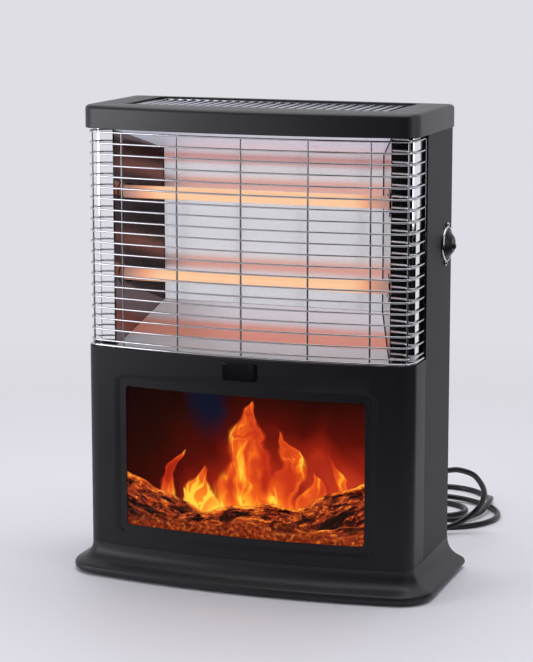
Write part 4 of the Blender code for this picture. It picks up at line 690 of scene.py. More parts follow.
def wrapped_round_front(piece, inset, reach, depths=None):
    """Cut a flat sheet into upright strips and wrap it round the body's front."""
    select_only(piece)
    cuts = [bow_length * i / 18 for i in range(18)]
    cuts += [bow_length + corner_length * i / 12 for i in range(13)]
    bpy.ops.object.mode_set(mode="EDIT")
    for place in cuts:
        for side in ((-1, 1) if place else (1,)):
            if place < reach:
                bpy.ops.mesh.select_all(action="SELECT")
                bpy.ops.mesh.bisect(plane_co=(side * place, 0, 0), plane_no=(1, 0, 0))
    bpy.ops.object.mode_set(mode="OBJECT")
    for vertex in piece.data.vertices:
        along, height = vertex.co.x, vertex.co.y
        deeper = depths(along, height) if depths else 0.0
        x, y = front_place(along, inset + deeper)
        vertex.co = (x, y, height)
    faced_towards(piece, (0, -1, 0))


def eased_edges(piece, width, angle=40.0):
    """Round off the sharp edges of a sheet and smooth it."""
    with_modifier(piece, "BEVEL", width=width, segments=2, limit_method="ANGLE",
                  angle_limit=math.radians(angle))
    smooth_by_angle(piece, 40.0)


def bowed_sheet(name, node_name, radius, inset, thickness, edge):
    """A rounded sheet that follows the bowed front, with its edges eased."""
    low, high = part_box(node_name)
    half = along_front(high.x * bow_radius / (bow_radius - inset))
    piece = flat_sheet(name, [rounded_outline(half, low.z, high.z, radius)])
    wrapped_round_front(piece, inset, half)
    with_modifier(piece, "SOLIDIFY", thickness=thickness, offset=-1.0, use_even_offset=True)
    eased_edges(piece, edge)
    return piece


fire_picture = bowed_sheet("fire_picture", "flame_screen", 0.006, SCREEN_INSET, SCREEN_SHEET, 0.0001)
# foot across, foot up, height, width, lean, sway and phase of each tongue of flame
FLAMES = ((0.13, 0.06, 0.90, 0.250, -0.06, 0.07, 0.0), (-0.07, 0.06, 0.66, 0.190, 0.10, 0.06, 2.0),
          (0.29, 0.06, 0.70, 0.150, 0.02, 0.06, 4.0), (-0.24, 0.04, 0.46, 0.140, -0.06, 0.05, 1.2),
          (-0.56, 0.14, 0.44, 0.070, 0.07, 0.05, 0.6), (0.46, 0.06, 0.44, 0.120, 0.05, 0.04, 3.1),
          (0.72, 0.20, 0.42, 0.060, -0.05, 0.05, 5.0), (-0.40, 0.06, 0.26, 0.090, 0.03, 0.03, 3.6))
# centre across, centre up, degrees, half length and radius of each log
LOGS = ((0.62, 0.19, 24.0, 0.46, 0.135), (-0.66, 0.16, -16.0, 0.44, 0.140),
        (-0.06, 0.09, 9.0, 0.50, 0.115), (0.36, 0.01, -7.0, 0.44, 0.100), (0.84, 0.03, 5.0, 0.40, 0.110))


def eased(tree, value, low, high, start=0.0, end=1.0):
    """A value eased from start to end while it goes from low to high."""
    node = tree.nodes.new("ShaderNodeMapRange")
    node.interpolation_type = "SMOOTHSTEP"
    for name, number in (("From Min", low), ("From Max", high), ("To Min", start), ("To Max", end)):
        node.inputs[name].default_value = number
    tree.links.new(value, node.inputs["Value"])
    return node.outputs[0]


def noise(tree, across, up, scale, detail, distortion=0.0):
    """A noise value at a place that may be stretched."""
    place = tree.nodes.new("ShaderNodeCombineXYZ")
    node = tree.nodes.new("ShaderNodeTexNoise")
    node.inputs["Scale"].default_value = scale
    node.inputs["Detail"].default_value = detail
    node.inputs["Distortion"].default_value = distortion
    tree.links.new(across, place.inputs[0])
    tree.links.new(up, place.inputs[1])
    tree.links.new(place.outputs[0], node.inputs["Vector"])
    return node.outputs["Fac"]


def toned(tree, value, stops):
    """A colour ramp through (place, colour) stops."""
    node = tree.nodes.new("ShaderNodeValToRGB")
    ramp = node.color_ramp
    for place, colour in stops[1:-1]:
        ramp.elements.new(place)
    for element, (place, colour) in zip(ramp.elements, stops):
        element.position = place
        element.color = (*colour, 1.0)
    tree.links.new(value, node.inputs[0])
    return node.outputs[0]


def blended(tree, share, first, second):
    """Two colours mixed by a share."""
    node = tree.nodes.new("ShaderNodeMix")
    node.data_type = "RGBA"
    for socket, value in ((node.inputs[0], share), (node.inputs[6], first), (node.inputs[7], second)):
        if isinstance(value, tuple):
            socket.default_value = (*value, 1.0)
        elif isinstance(value, float):
            socket.default_value = value
        else:
            tree.links.new(value, socket)
    return node.outputs[2]


def shape_group(name, inputs, outputs):
    """An empty shader group with its value sockets."""
    group = bpy.data.node_groups.new(name, "ShaderNodeTree")
    for socket_name in inputs:
        group.interface.new_socket(socket_name, in_out="INPUT", socket_type="NodeSocketFloat")
    for socket_name in outputs:
        group.interface.new_socket(socket_name, in_out="OUTPUT", socket_type="NodeSocketFloat")
    return group, group.nodes.new("NodeGroupInput").outputs, group.nodes.new("NodeGroupOutput").inputs


def flame_group():
    """One tongue of flame: it sways and narrows from its foot to its tip."""
    group, given, result = shape_group("flame_tongue", (
        "Across", "Up", "Foot Across", "Foot Up", "Height", "Width", "Lean", "Sway", "Phase"),
        ("Body", "Rim"))
    solve = partial(maths, group)
    rise = solve("DIVIDE", solve("SUBTRACT", given["Up"], given["Foot Up"]), given["Height"])
    held = solve("MINIMUM", solve("MAXIMUM", rise, 0.0), 1.0)
    wave = solve("SINE", solve("MULTIPLY_ADD", rise, 6.5, given["Phase"]))
    sway = solve("MULTIPLY", solve("MULTIPLY", wave, given["Sway"]), held)
    middle = solve("ADD", solve("MULTIPLY_ADD", rise, given["Lean"], given["Foot Across"]), sway)
    narrowing = solve("MULTIPLY", solve("POWER", solve("SUBTRACT", 1.0, held), 0.9),
                      solve("SQRT", solve("ADD", held, 0.22)))
    width = solve("MAXIMUM", solve("MULTIPLY", narrowing, given["Width"]), 0.0005)
    away = solve("DIVIDE", solve("ABSOLUTE", solve("SUBTRACT", given["Across"], middle)),
                 solve("MULTIPLY", width, 1.8))
    alive = solve("MULTIPLY", solve("GREATER_THAN", rise, 0.0), solve("LESS_THAN", rise, 1.0))
    body = solve("MULTIPLY", eased(group, away, 1.0, 0.55), alive)
    group.links.new(body, result["Body"])
    group.links.new(solve("MULTIPLY", body, eased(group, away, 0.35, 0.75)), result["Rim"])
    return group


def log_group():
    """One log: a long round shape at an angle, with its own length and height across it."""
    group, given, result = shape_group("fire_log", (
        "Across", "Up", "Centre Across", "Centre Up", "Angle", "Half Length", "Radius"),
        ("Mask", "Along", "Side"))
    solve = partial(maths, group)
    across = solve("SUBTRACT", given["Across"], given["Centre Across"])
    up = solve("SUBTRACT", given["Up"], given["Centre Up"])
    cosine, sine = solve("COSINE", given["Angle"]), solve("SINE", given["Angle"])
    along = solve("ADD", solve("MULTIPLY", across, cosine), solve("MULTIPLY", up, sine))
    over = solve("SUBTRACT", solve("MULTIPLY", up, cosine), solve("MULTIPLY", across, sine))
    out = solve("DIVIDE", solve("ABSOLUTE", along), given["Half Length"])
    ends = solve("SUBTRACT", 1.0, solve("POWER", out, 5.0))
    ends = solve("SQRT", solve("MAXIMUM", ends, 0.0001))
    side = solve("DIVIDE", over, solve("MULTIPLY", ends, given["Radius"]))
    group.links.new(eased(group, solve("ABSOLUTE", side), 1.0, 0.95), result["Mask"])
    group.links.new(along, result["Along"])
    group.links.new(side, result["Side"])
    return group


def placed_shape(tree, group, sockets, values):
    """A shape group with its place sockets linked and its own numbers."""
    node = tree.nodes.new("ShaderNodeGroup")
    node.node_tree = group
    for socket, value in zip(node.inputs, tuple(sockets) + tuple(values)):
        if isinstance(value, float):
            socket.default_value = value
        else:
            tree.links.new(value, socket)
    return node.outputs


def axes(tree, source="Object"):
    """The three coordinates of a place."""
    place = tree.nodes.new("ShaderNodeTexCoord")
    parts = tree.nodes.new("ShaderNodeSeparateXYZ")
    tree.links.new(place.outputs[source], parts.inputs[0])
    return parts.outputs


fire_finish, tree, shader = plain_finish("printed_fire", {
    "Base Color": (0.004, 0.003, 0.003), "Roughness": 0.6, "Specular IOR Level": 0.0,
    "Emission Strength": 1.12})
solve = partial(maths, tree)
place = axes(tree)
across = solve("DIVIDE", place[0], PICTURE_TALL)
up = solve("DIVIDE", solve("SUBTRACT", place[2], PICTURE_BOTTOM), PICTURE_TALL)
bend = solve("SUBTRACT", noise(tree, across, up, 2.6, 2.0), 0.5)
curl = solve("SUBTRACT", noise(tree, across, up, 6.5, 3.0), 0.5)
moved_across = solve("MULTIPLY_ADD", bend, 0.26, solve("MULTIPLY_ADD", curl, 0.10, across))
moved_up = solve("MULTIPLY_ADD", curl, 0.12, up)
flame, log = flame_group(), log_group()


def flames_together(shapes):
    """Several tongues of flame as one body and one rim."""
    body, rim = 0.0, 0.0
    for shape in shapes:
        made = placed_shape(tree, flame, (moved_across, moved_up), shape)
        body = solve("MAXIMUM", body, made["Body"])
        rim = solve("MAXIMUM", rim, made["Rim"])
    return body, rim


streak = noise(tree, solve("MULTIPLY", moved_across, 3.2), moved_up, 3.4, 2.5, 0.9)
streak = eased(tree, solve("ABSOLUTE", solve("SUBTRACT", streak, 0.5)), 0.085, 0.0)
FLAME_STOPS = ((0.0, (0.10, 0.004, 0.002)), (0.30, (0.52, 0.028, 0.008)), (0.55, (0.86, 0.115, 0.012)),
               (0.78, (1.0, 0.33, 0.018)), (1.0, (1.0, 0.66, 0.055)))
body, rim = flames_together(FLAMES)
foot = eased(tree, up, 0.40, 0.16)
billow = noise(tree, solve("MULTIPLY", moved_across, 1.8), moved_up, 2.7, 1.5, 0.5)
streak = solve("MULTIPLY", streak, eased(tree, billow, 0.38, 0.62))
heat = 0.12
for part, amount in ((solve("SUBTRACT", billow, 0.5), 1.1), (foot, 0.30), (streak, 0.42), (body, 0.28),
                     (rim, 0.17)):
    heat = solve("MULTIPLY_ADD", part, amount, heat)
flame_colour = toned(tree, heat, FLAME_STOPS)
glow = solve("MULTIPLY", eased(tree, up, 1.35, 0.22), eased(tree, moved_across, -0.80, 0.15, 0.22, 1.0))
smoke = noise(tree, across, solve("MULTIPLY", up, 0.55), 2.1, 3.0, 0.6)
glow = solve("MULTIPLY", glow, solve("MULTIPLY_ADD", smoke, 1.6, 0.22))
backing = toned(tree, glow, ((0.0, (0.0035, 0.0018, 0.0015)), (0.22, (0.020, 0.0028, 0.0015)),
                             (0.50, (0.085, 0.004, 0.002)), (0.78, (0.28, 0.014, 0.005)),
                             (1.0, (0.50, 0.035, 0.012))))
patch = eased(tree, solve("ABSOLUTE", solve("ADD", moved_across, 0.24)), 0.17, 0.04)
patch = solve("MULTIPLY", patch, eased(tree, up, 0.62, 0.90))
backing = blended(tree, patch, backing, (0.0045, 0.0065, 0.019))
picture = blended(tree, solve("MULTIPLY", body, 0.94), backing, flame_colour)
covered, along, side = 0.0, 0.0, 0.0
bark_across = solve("MULTIPLY_ADD", curl, 0.05, across)
bark_up = solve("MULTIPLY_ADD", bend, 0.14, solve("MULTIPLY_ADD", curl, 0.05, up))
for number, (centre_across, centre_up, degrees, half_length, radius) in enumerate(LOGS):
    made = placed_shape(tree, log, (bark_across, bark_up),
                        (centre_across, centre_up, math.radians(degrees), half_length, radius))
    kept = solve("SUBTRACT", 1.0, made["Mask"])
    covered = solve("MAXIMUM", covered, made["Mask"])
    own_along = solve("MULTIPLY", solve("ADD", made["Along"], 3.7 * number), made["Mask"])
    own_side = solve("MULTIPLY", made["Side"], made["Mask"])
    along = solve("ADD", solve("MULTIPLY", along, kept), own_along)
    side = solve("ADD", solve("MULTIPLY", side, kept), own_side)
bark = noise(tree, solve("MULTIPLY", along, 2.2), side, 5.0, 5.0, 0.4)
crack = noise(tree, solve("MULTIPLY", along, 5.0), solve("MULTIPLY", side, 1.3), 3.1, 2.0, 1.2)
crack = eased(tree, solve("ABSOLUTE", solve("SUBTRACT", crack, 0.5)), 0.030, 0.0)
char = eased(tree, noise(tree, along, solve("MULTIPLY", side, 0.35), 4.3, 2.0), 0.50, 0.62)
rim_light = eased(tree, side, 0.70, 0.93)
ember = 0.33
for part, amount in ((crack, 0.42), (rim_light, 0.34), (solve("SUBTRACT", bark, 0.5), 1.5),
                     (char, -0.50)):
    ember = solve("MULTIPLY_ADD", part, amount, ember)
ember = solve("SUBTRACT", ember, eased(tree, side, -0.15, -0.95, 0.0, 0.30))
bark_colour = toned(tree, ember, ((0.0, (0.004, 0.0015, 0.001)), (0.22, (0.040, 0.0045, 0.002)),
                                  (0.46, (0.33, 0.030, 0.007)), (0.68, (0.80, 0.125, 0.012)),
                                  (1.0, (1.0, 0.55, 0.05))))
picture = blended(tree, covered, picture, bark_colour)
bed = eased(tree, solve("MULTIPLY_ADD", bend, 0.25, up), 0.12, 0.02)
speckle = noise(tree, across, up, 34.0, 3.0)
picture = blended(tree, solve("MULTIPLY", bed, 0.8), picture,
                  toned(tree, speckle, ((0.30, (0.03, 0.003, 0.001)), (0.54, (0.26, 0.024, 0.005)),
                                        (0.72, (0.72, 0.22, 0.02)))))
tree.links.new(picture, shader.inputs["Emission Color"])
finished(fire_picture, ["flame_screen"], fire_finish)


# Window. A clear smoked acrylic pane, bent to the fascia's bow and held behind its opening.
PANE_INSET = 0.0028
PANE_SHEET = 0.0015
pane = bowed_sheet("clear_pane", "window_pane", 0.006, PANE_INSET, PANE_SHEET, 0.0002)
pane_finish = plain_finish("smoked_acrylic", {
    "Base Color": (0.97, 0.97, 0.97), "Roughness": 0.03, "Transmission Weight": 1.0, "IOR": 1.12})[0]
finished(pane, ["window_pane"], pane_finish)


# Fascia. One black moulding that wraps the lower front and both corners, with a shallow stepped
# border round the window opening.
FASCIA_WALL = 0.0025
MOULDED_EDGE = 0.0006                     # how far a moulding's edges are eased
WINDOW_HALF = 0.1465
WINDOW_BOTTOM = 0.0625
WINDOW_TOP = 0.2310
WINDOW_CORNER = 0.0060
BORDER = 0.0120
BORDER_CORNER = 0.0120
BORDER_DEPTH = 0.0010
STEP_SLOPE = 0.0034
WELD = 0.00001                            # points nearer than this become one
fascia_low, fascia_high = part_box("front_fascia")
fascia_reach = bow_length + corner_length + fascia_high.y - corner_y
border_half = along_front(WINDOW_HALF + BORDER)
outer_step = rounded_outline(border_half, WINDOW_BOTTOM - BORDER, WINDOW_TOP + BORDER, BORDER_CORNER)
inner_step = rounded_outline(border_half - STEP_SLOPE, WINDOW_BOTTOM - BORDER + STEP_SLOPE,
                             WINDOW_TOP + BORDER - STEP_SLOPE, BORDER_CORNER - STEP_SLOPE)
window_edge = rounded_outline(along_front(WINDOW_HALF), WINDOW_BOTTOM, WINDOW_TOP, WINDOW_CORNER)
outer_edge = [(-fascia_reach, fascia_low.z), (fascia_reach, fascia_low.z), (fascia_reach, fascia_high.z),
              (-fascia_reach, fascia_high.z)]
fascia = flat_sheet("moulded_fascia", [outer_edge, outer_step])
border = flat_sheet("window_border", [inner_step, window_edge])
bpy.ops.object.select_all(action="DESELECT")
bpy.ops.mesh.primitive_circle_add(vertices=len(outer_step), fill_type="NOTHING")
step_ring = bpy.context.object
for vertex, (x, z) in zip(step_ring.data.vertices, outer_step):
    vertex.co = (x, z, 0.0)
bpy.ops.object.mode_set(mode="EDIT")
bpy.ops.mesh.select_all(action="SELECT")
bpy.ops.mesh.extrude_edges_move()
ring_mesh = bmesh.from_edit_mesh(step_ring.data)
for vertex in ring_mesh.verts:
    if vertex.select:
        vertex.co = (*inner_step[nearest_place(outer_step, vertex.co)], 0.0)
bmesh.update_edit_mesh(step_ring.data)
bpy.ops.object.mode_set(mode="OBJECT")
joined(fascia, [border, step_ring])
bpy.ops.object.mode_set(mode="EDIT")
bpy.ops.mesh.select_all(action="SELECT")
bpy.ops.mesh.remove_doubles(threshold=WELD)
bpy.ops.object.mode_set(mode="OBJECT")
border_limit = (border_half - STEP_SLOPE + 0.0001, WINDOW_BOTTOM - BORDER + STEP_SLOPE - 0.0001,
                WINDOW_TOP + BORDER - STEP_SLOPE + 0.0001)


def border_depth(along, height):
    """How far the fascia's face stands back inside the stepped border."""
    half, bottom, top = border_limit
    radius = BORDER_CORNER - STEP_SLOPE
    if abs(along) > half or height < bottom or height > top:
        return 0.0
    past_x, past_z = abs(along) - (half - radius), max(height - (top - radius), bottom + radius - height)
    if past_x > 0 and past_z > 0 and math.hypot(past_x, past_z) > radius + 0.0001:
        return 0.0
    return BORDER_DEPTH


wrapped_round_front(fascia, 0.0, fascia_reach, border_depth)
wall_group = fascia.vertex_groups.new(name="wall")
for vertex in fascia.data.vertices:
    out = math.hypot(vertex.co.x, vertex.co.y - bow_centre)
    recessed = abs(vertex.co.x) < WINDOW_HALF + BORDER and out < bow_radius - 0.5 * BORDER_DEPTH
    share = (FASCIA_WALL - BORDER_DEPTH) / FASCIA_WALL if recessed else 1.0
    wall_group.add([vertex.index], share, "REPLACE")
with_modifier(fascia, "SOLIDIFY", thickness=FASCIA_WALL, offset=-1.0, vertex_group="wall")
eased_edges(fascia, MOULDED_EDGE, 30.0)
finished(fascia, ["front_fascia"], moulded_black("fascia_black", (0.0070, 0.0070, 0.0095), 0.31))


# Badge. A bare gloss black plate with rounded corners, stuck on above the window.
badge_finish = grained_finish("gloss_black", (0.005, 0.005, 0.006), 0.16, 300.0, 0.000005, 40.0, 0.05,
                              specular=0.16)
badge = bowed_sheet("bare_badge", "badge_plate", 0.003, -0.0015, 0.0012, 0.0004)
finished(badge, ["badge_plate"], badge_finish)


# Heating chamber. A black steel shelf, bright satin mirrors behind, above and below the tubes,
# slanted mirror ends, and polished strips that turn round both corners.
def painted_glow_mirror(name, finish_values, axis, stops, glow):
    """A mirror whose colour changes with depth or height in bands of painted tube reflection, and which
    glows as painted light.
    """
    finish = grained_finish(name, *finish_values)
    tree = finish.node_tree
    shader = tree.nodes["Principled BSDF"]
    place = axes(tree)
    wander = maths(tree, "SUBTRACT", noise(tree, place[0], place[axis], 14.0, 2.0), 0.5)
    low, high = stops[0][0], stops[-1][0]
    share = maths(tree, "MULTIPLY_ADD", wander, 0.06, eased(tree, place[axis], low, high))
    # The bands are painted reflection of the glowing tubes; fed to the emission as well, they are a
    # painted glow.
    painted_tones = toned(tree, share, [((at - low) / (high - low), tone) for at, tone in stops])
    tree.links.new(painted_tones, shader.inputs["Base Color"])
    tree.links.new(painted_tones, shader.inputs["Emission Color"])
    shader.inputs["Emission Strength"].default_value = glow
    return finish


# Back mirror: the pink band near its top is a painted reflection of the tubes, and the mirror has a faint
# painted glow.
refinish(["reflector_back"], painted_glow_mirror(
    "satin_mirror_painted_glow", ((0.97, 0.98, 1.0), 0.20, 60.0, 0.00002, 7.0, 0.05, 0.03, 1.0), 2,
    ((0.470, (0.97, 0.98, 1.0)), (0.480, (0.96, 0.90, 0.91)), (0.486, (0.88, 0.56, 0.54)),
     (0.496, (0.82, 0.44, 0.42)), (0.500, (0.90, 0.80, 0.82))), 0.03))
# Top reflector: its pale tones also glow, as painted light on an underside that no lamp reaches.
refinish(["reflector_top"], painted_glow_mirror(
    "top_reflector_painted_glow", ((0.8, 0.8, 0.8), 0.30, 60.0, 0.00002, 9.0, 0.05, 0.05, 0.40), 1,
    ((-0.030, (0.74, 0.83, 0.97)), (0.010, (0.76, 0.84, 0.97)), (0.030, (0.86, 0.80, 0.88))), 0.30))
# Bottom plate: the red band is a painted reflection of the tubes, and the plate glows as painted light.
refinish(["reflector_bottom"], painted_glow_mirror(
    "bottom_plate_painted_glow", ((0.8, 0.8, 0.8), 0.30, 60.0, 0.00002, 9.0, 0.06, 0.05, 0.45), 1,
    ((-0.059, (0.60, 0.64, 0.70)), (-0.034, (0.66, 0.69, 0.74)), (-0.026, (0.90, 0.38, 0.28)),
     (0.000, (0.92, 0.42, 0.33)), (0.012, (0.84, 0.80, 0.83)), (0.032, (0.88, 0.90, 0.95))), 0.18))
# The end mirrors are a dark, warm-tinted copy of the mirror finish, as painted shade.
refinish(["left_end_plate", "right_end_plate"],
         grained_finish("end_mirror_painted_shade", (0.25, 0.205, 0.205), 0.09, 120.0, 0.00002, 20.0, 0.06, 0.06, 1.0))
refinish(["divider_shelf"], powder_coat)
polished_finish = grained_finish("polished_mirror", (0.97, 0.97, 0.99), 0.07, 90.0, 0.00002, 14.0, 0.04,
                                 0.04, 1.0)
for side_name, side in (("left", -1), ("right", 1)):
    low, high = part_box(side_name + "_corner_mirror")
    near, far = (low.x, high.x) if side > 0 else (-high.x, -low.x)
    bend, sheet = 0.0100, 0.0006
    faces = []
    for radius in (bend, bend - sheet):
        turns = [math.radians(-90 + 90 * i / 16) for i in range(17)]
        faces.append([(near, low.y + bend - radius)]
                     + [(far - bend + radius * math.cos(turn), low.y + bend + radius * math.sin(turn))
                        for turn in turns] + [(far - bend + radius, high.y)])
    plan = [(side * x, y) for x, y in faces[0] + faces[1][::-1]]
    strip = pulled_up(side_name + "_polished_corner", [(plan, low.z), (plan, high.z)])
    finished(strip, [side_name + "_corner_mirror"], polished_finish)


# Quartz heaters. Two milky quartz tubes, each round a coiled wire that glows, in ceramic cups
# that plated steel brackets hold.
quartz_finish, tree, shader = plain_finish("glowing_quartz", {
    "Base Color": (0.30, 0.24, 0.22), "Roughness": 0.25, "Coat Weight": 0.4, "Emission Strength": 0.84})
solve = partial(maths, tree)
place = axes(tree)
tube_low, tube_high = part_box("upper_quartz_tube")
tube_y = (tube_low.y + tube_high.y) / 2
streak = noise(tree, solve("MULTIPLY", place[0], 12.0), solve("MULTIPLY", place[2], 420.0),
               1.0, 3.0)
glow = solve("MULTIPLY", eased(tree, solve("ABSOLUTE", place[0]), 0.162, 0.112),
             solve("MULTIPLY_ADD", streak, 0.35, 0.82))
front_glow = toned(tree, glow, ((0.0, (0.36, 0.17, 0.13)), (0.55, (0.85, 0.32, 0.13)),
                                (1.0, (1.0, 0.56, 0.27))))
rear_glow = toned(tree, glow, ((0.0, (0.25, 0.15, 0.14)), (1.0, (0.72, 0.27, 0.19))))
behind = eased(tree, place[1], tube_y - 0.001, tube_y + 0.005)
tree.links.new(blended(tree, behind, front_glow, rear_glow), shader.inputs["Emission Color"])
coil_finish = plain_finish("hot_wire", {
    "Base Color": (0.30, 0.10, 0.05), "Emission Color": (1.0, 0.35, 0.10), "Emission Strength": 2.0})[0]
for level in ("upper", "lower"):
    low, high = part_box(level + "_quartz_tube")
    radius, half = (high.z - low.z) / 2, (high.x - low.x) / 2
    axis = (0.0, (low.y + high.y) / 2, (low.z + high.z) / 2)
    glass = turned_piece(level + "_milky_tube", [(radius, -half), (radius, half), (radius - 0.0015, half),
                                                 (radius - 0.0015, -half)], axis, (1, 0, 0), 40)
    finished(glass, [level + "_quartz_tube"], quartz_finish)
    for side_name, side in (("left", -1), ("right", 1)):
        low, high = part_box("%s_%s_ceramic" % (level, side_name))
        radius, long = (high.z - low.z) / 2, high.x - low.x
        start = low.x if side > 0 else high.x
        cup = turned_piece("%s_%s_cup" % (level, side_name),
                           [(radius - 0.0006, 0.0), (0.0078, 0.0), (0.0078, 0.0080), (0.0011, 0.0080),
                            (0.0011, long), (radius - 0.0022, long), (radius - 0.0012, long - 0.0004),
                            (radius, long - 0.0022), (radius, 0.0006)],
                           (start, *axis[1:]), (side, 0, 0), 36)
        finished(cup, ["%s_%s_ceramic" % (level, side_name)], ceramic_finish)
refinish(["upper_element", "lower_element"], coil_finish)
refinish(["left_tube_bracket", "right_tube_bracket", "thermal_cutout"], zinc_finish)


# Wire guard. Bright-plated round wires, welded where they cross: twenty level rows over a heavier
# bottom wire, with uprights behind them.
ROW_RADIUS = 0.0011
FRAME_RADIUS = 0.0016
GUARD_INSET = 0.0026
UPRIGHT_INSET = 0.0018
GUARD_ROWS = 20
UPRIGHT_XS = (0.0, 0.079, 0.150)
guard_low, guard_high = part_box("wire_guard")
frame_z = guard_low.z + FRAME_RADIUS
top_row_z = guard_high.z - ROW_RADIUS
first_row_z = frame_z + 0.0060
guard_end = guard_high.y


def wire_run(name, routes, radius, sides=4):
    """Round wires through their points, as one curve that becomes a mesh."""
    drawn = bpy.data.curves.new(name, "CURVE")
    drawn.dimensions = "3D"
    drawn.bevel_depth = radius
    drawn.bevel_resolution = sides
    drawn.use_fill_caps = True
    for route in routes:
        spline = drawn.splines.new("POLY")
        spline.points.add(len(route) - 1)
        for point, place in zip(spline.points, route):
            point.co = (*place, 1.0)
        spline.use_smooth = True
    return made_mesh(name, drawn)


row_plan = front_line(GUARD_INSET, 24, 8)
row_plan = [(-BODY_HALF + GUARD_INSET, guard_end)] + row_plan + [(BODY_HALF - GUARD_INSET, guard_end)]
row_pitch = (top_row_z - first_row_z) / (GUARD_ROWS - 1)
rows = [[(x, y, first_row_z + i * row_pitch) for x, y in row_plan] for i in range(GUARD_ROWS)]
guard = wire_run("welded_guard", rows, ROW_RADIUS, 3)
heavy = wire_run("heavy_wire", [[(x, y, frame_z) for x, y in row_plan]], FRAME_RADIUS, 4)
inset = GUARD_INSET + UPRIGHT_INSET
upright_places = []
for x in UPRIGHT_XS:
    for side in ((-1, 1) if x else (1,)):
        upright_places.append((side * x, bow_centre - math.sqrt((bow_radius - inset) ** 2 - x ** 2)))
turn = math.radians(-45.0)
for side in (-1, 1):
    upright_places.append((side * (corner_x + (BODY_CORNER - inset) * math.cos(turn)),
                           corner_y + (BODY_CORNER - inset) * math.sin(turn)))
    upright_places.append((side * (BODY_HALF - GUARD_INSET), guard_end))
uprights = wire_run("guard_uprights", [[(x, y, frame_z), (x, y, top_row_z)] for x, y in upright_places],
                    ROW_RADIUS, 3)
upright_first = len(guard.data.polygons) + len(heavy.data.polygons)
joined(guard, [heavy, uprights])
smooth_by_angle(guard, 50.0)
chrome_finish = grained_finish("bright_plate", (0.66, 0.66, 0.68), 0.14, 300.0, 0.00001, 90.0, 0.08,
                               0.08, 1.0)
finished(guard, ["wire_guard"], chrome_finish)
# The uprights get a darker copy of the plate, as painted shade.
guard.data.materials.append(grained_finish("upright_plate_painted_shade", (0.30, 0.30, 0.32), 0.16, 300.0, 0.00001,
                                           90.0, 0.08, 0.08, 1.0))
for face in guard.data.polygons[upright_first:]:
    face.material_index = 1


# Selector. A satin black knob with a dished crown and a raised pointer, in a bright-plated bezel
# that two small screws hold; its switch sits behind the side panel.
knob_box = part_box("selector_knob")
KNOB_RADIUS = (knob_box[1].y - knob_box[0].y) / 2
KNOB_TALL = 0.0100
KNOB_BORE = 0.0032
BORE_DEPTH = 0.0073
knob_centre = middle(knob_box)[1:]
face_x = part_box("knob_bezel")[0].x
profile = [(KNOB_BORE, 0.0), (KNOB_RADIUS, 0.0), (KNOB_RADIUS, 0.0010), (KNOB_RADIUS - 0.0005, 0.0017),
           (0.0096, KNOB_TALL - 0.0016), (0.0088, KNOB_TALL - 0.0011), (0.0080, KNOB_TALL - 0.0010),
           (0.0070, KNOB_TALL - 0.0012), (0.0052, KNOB_TALL - 0.0016), (0.0, KNOB_TALL - 0.0018),
           (0.0, BORE_DEPTH), (KNOB_BORE, BORE_DEPTH)]
knob = turned_piece("selector_dial", profile, (face_x, *knob_centre), (1, 0, 0), 64)
pointer = turned_piece("pointer", [(0.0, -0.0030), (0.0033, -0.0030), (0.0033, 0.0004), (0.0029, 0.0012),
                                   (0.0020, 0.0017), (0.0, 0.0017)],
                       (face_x + KNOB_TALL, knob_centre[0], knob_centre[1] - 0.0024), (1, 0, 0), 32)
joined(knob, [pointer])
smooth_by_angle(knob)
knob_finish = grained_finish("satin_black", (0.009, 0.009, 0.011), 0.34, 1500.0, 0.00003, 60.0,
                             specular=0.30)
finished(knob, ["selector_knob"], knob_finish, "knob")
bezel = turned_piece("plated_bezel",
                     [(0.0188, 0.0), (0.0208, 0.0), (0.0208, 0.0012), (0.0206, 0.0019), (0.0201, 0.0025),
                      (0.0197, 0.0028), (0.0193, 0.0027), (0.0189, 0.0022), (0.0188, 0.0014)],
                     (face_x, *knob_centre), (1, 0, 0), 72)
lugs = []
for number in (1, 2):
    low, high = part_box("bezel_screw_%d" % number)
    place = middle((low, high))[1:]
    profile = [(0.0011, 0.0), (0.0030, 0.0), (0.0030, 0.0009), (0.0026, 0.0014), (0.0011, 0.0014)]
    lugs.append(turned_piece("bezel_lug", profile, (face_x, *place), (1, 0, 0), 32))
    cross_head_screw("bezel_screw_%d_head" % number, "bezel_screw_%d" % number,
                     (high.x - SCREW_HEAD, *place), (1, 0, 0), 0.0008, (high.y - low.y) / 2,
                     chrome_finish)
joined(bezel, lugs)
smooth_by_angle(bezel)
finished(bezel, ["knob_bezel"], chrome_finish)
refinish(["selector_shaft"], zinc_finish)
refinish(["selector_switch"],
         grained_finish("pale_moulding", (0.55, 0.53, 0.48), 0.48, 900.0, 0.00004, 30.0))


# Inner wires. Red glass-braid sleeved leads between the terminal block, the switch and the tubes.
refinish(["supply_wire", "upper_tube_wire", "lower_tube_wire", "link_wire"],
         grained_finish("braided_sleeve", (0.36, 0.03, 0.025), 0.60, 1600.0, 0.00008, 120.0, 0.10, 0.25))


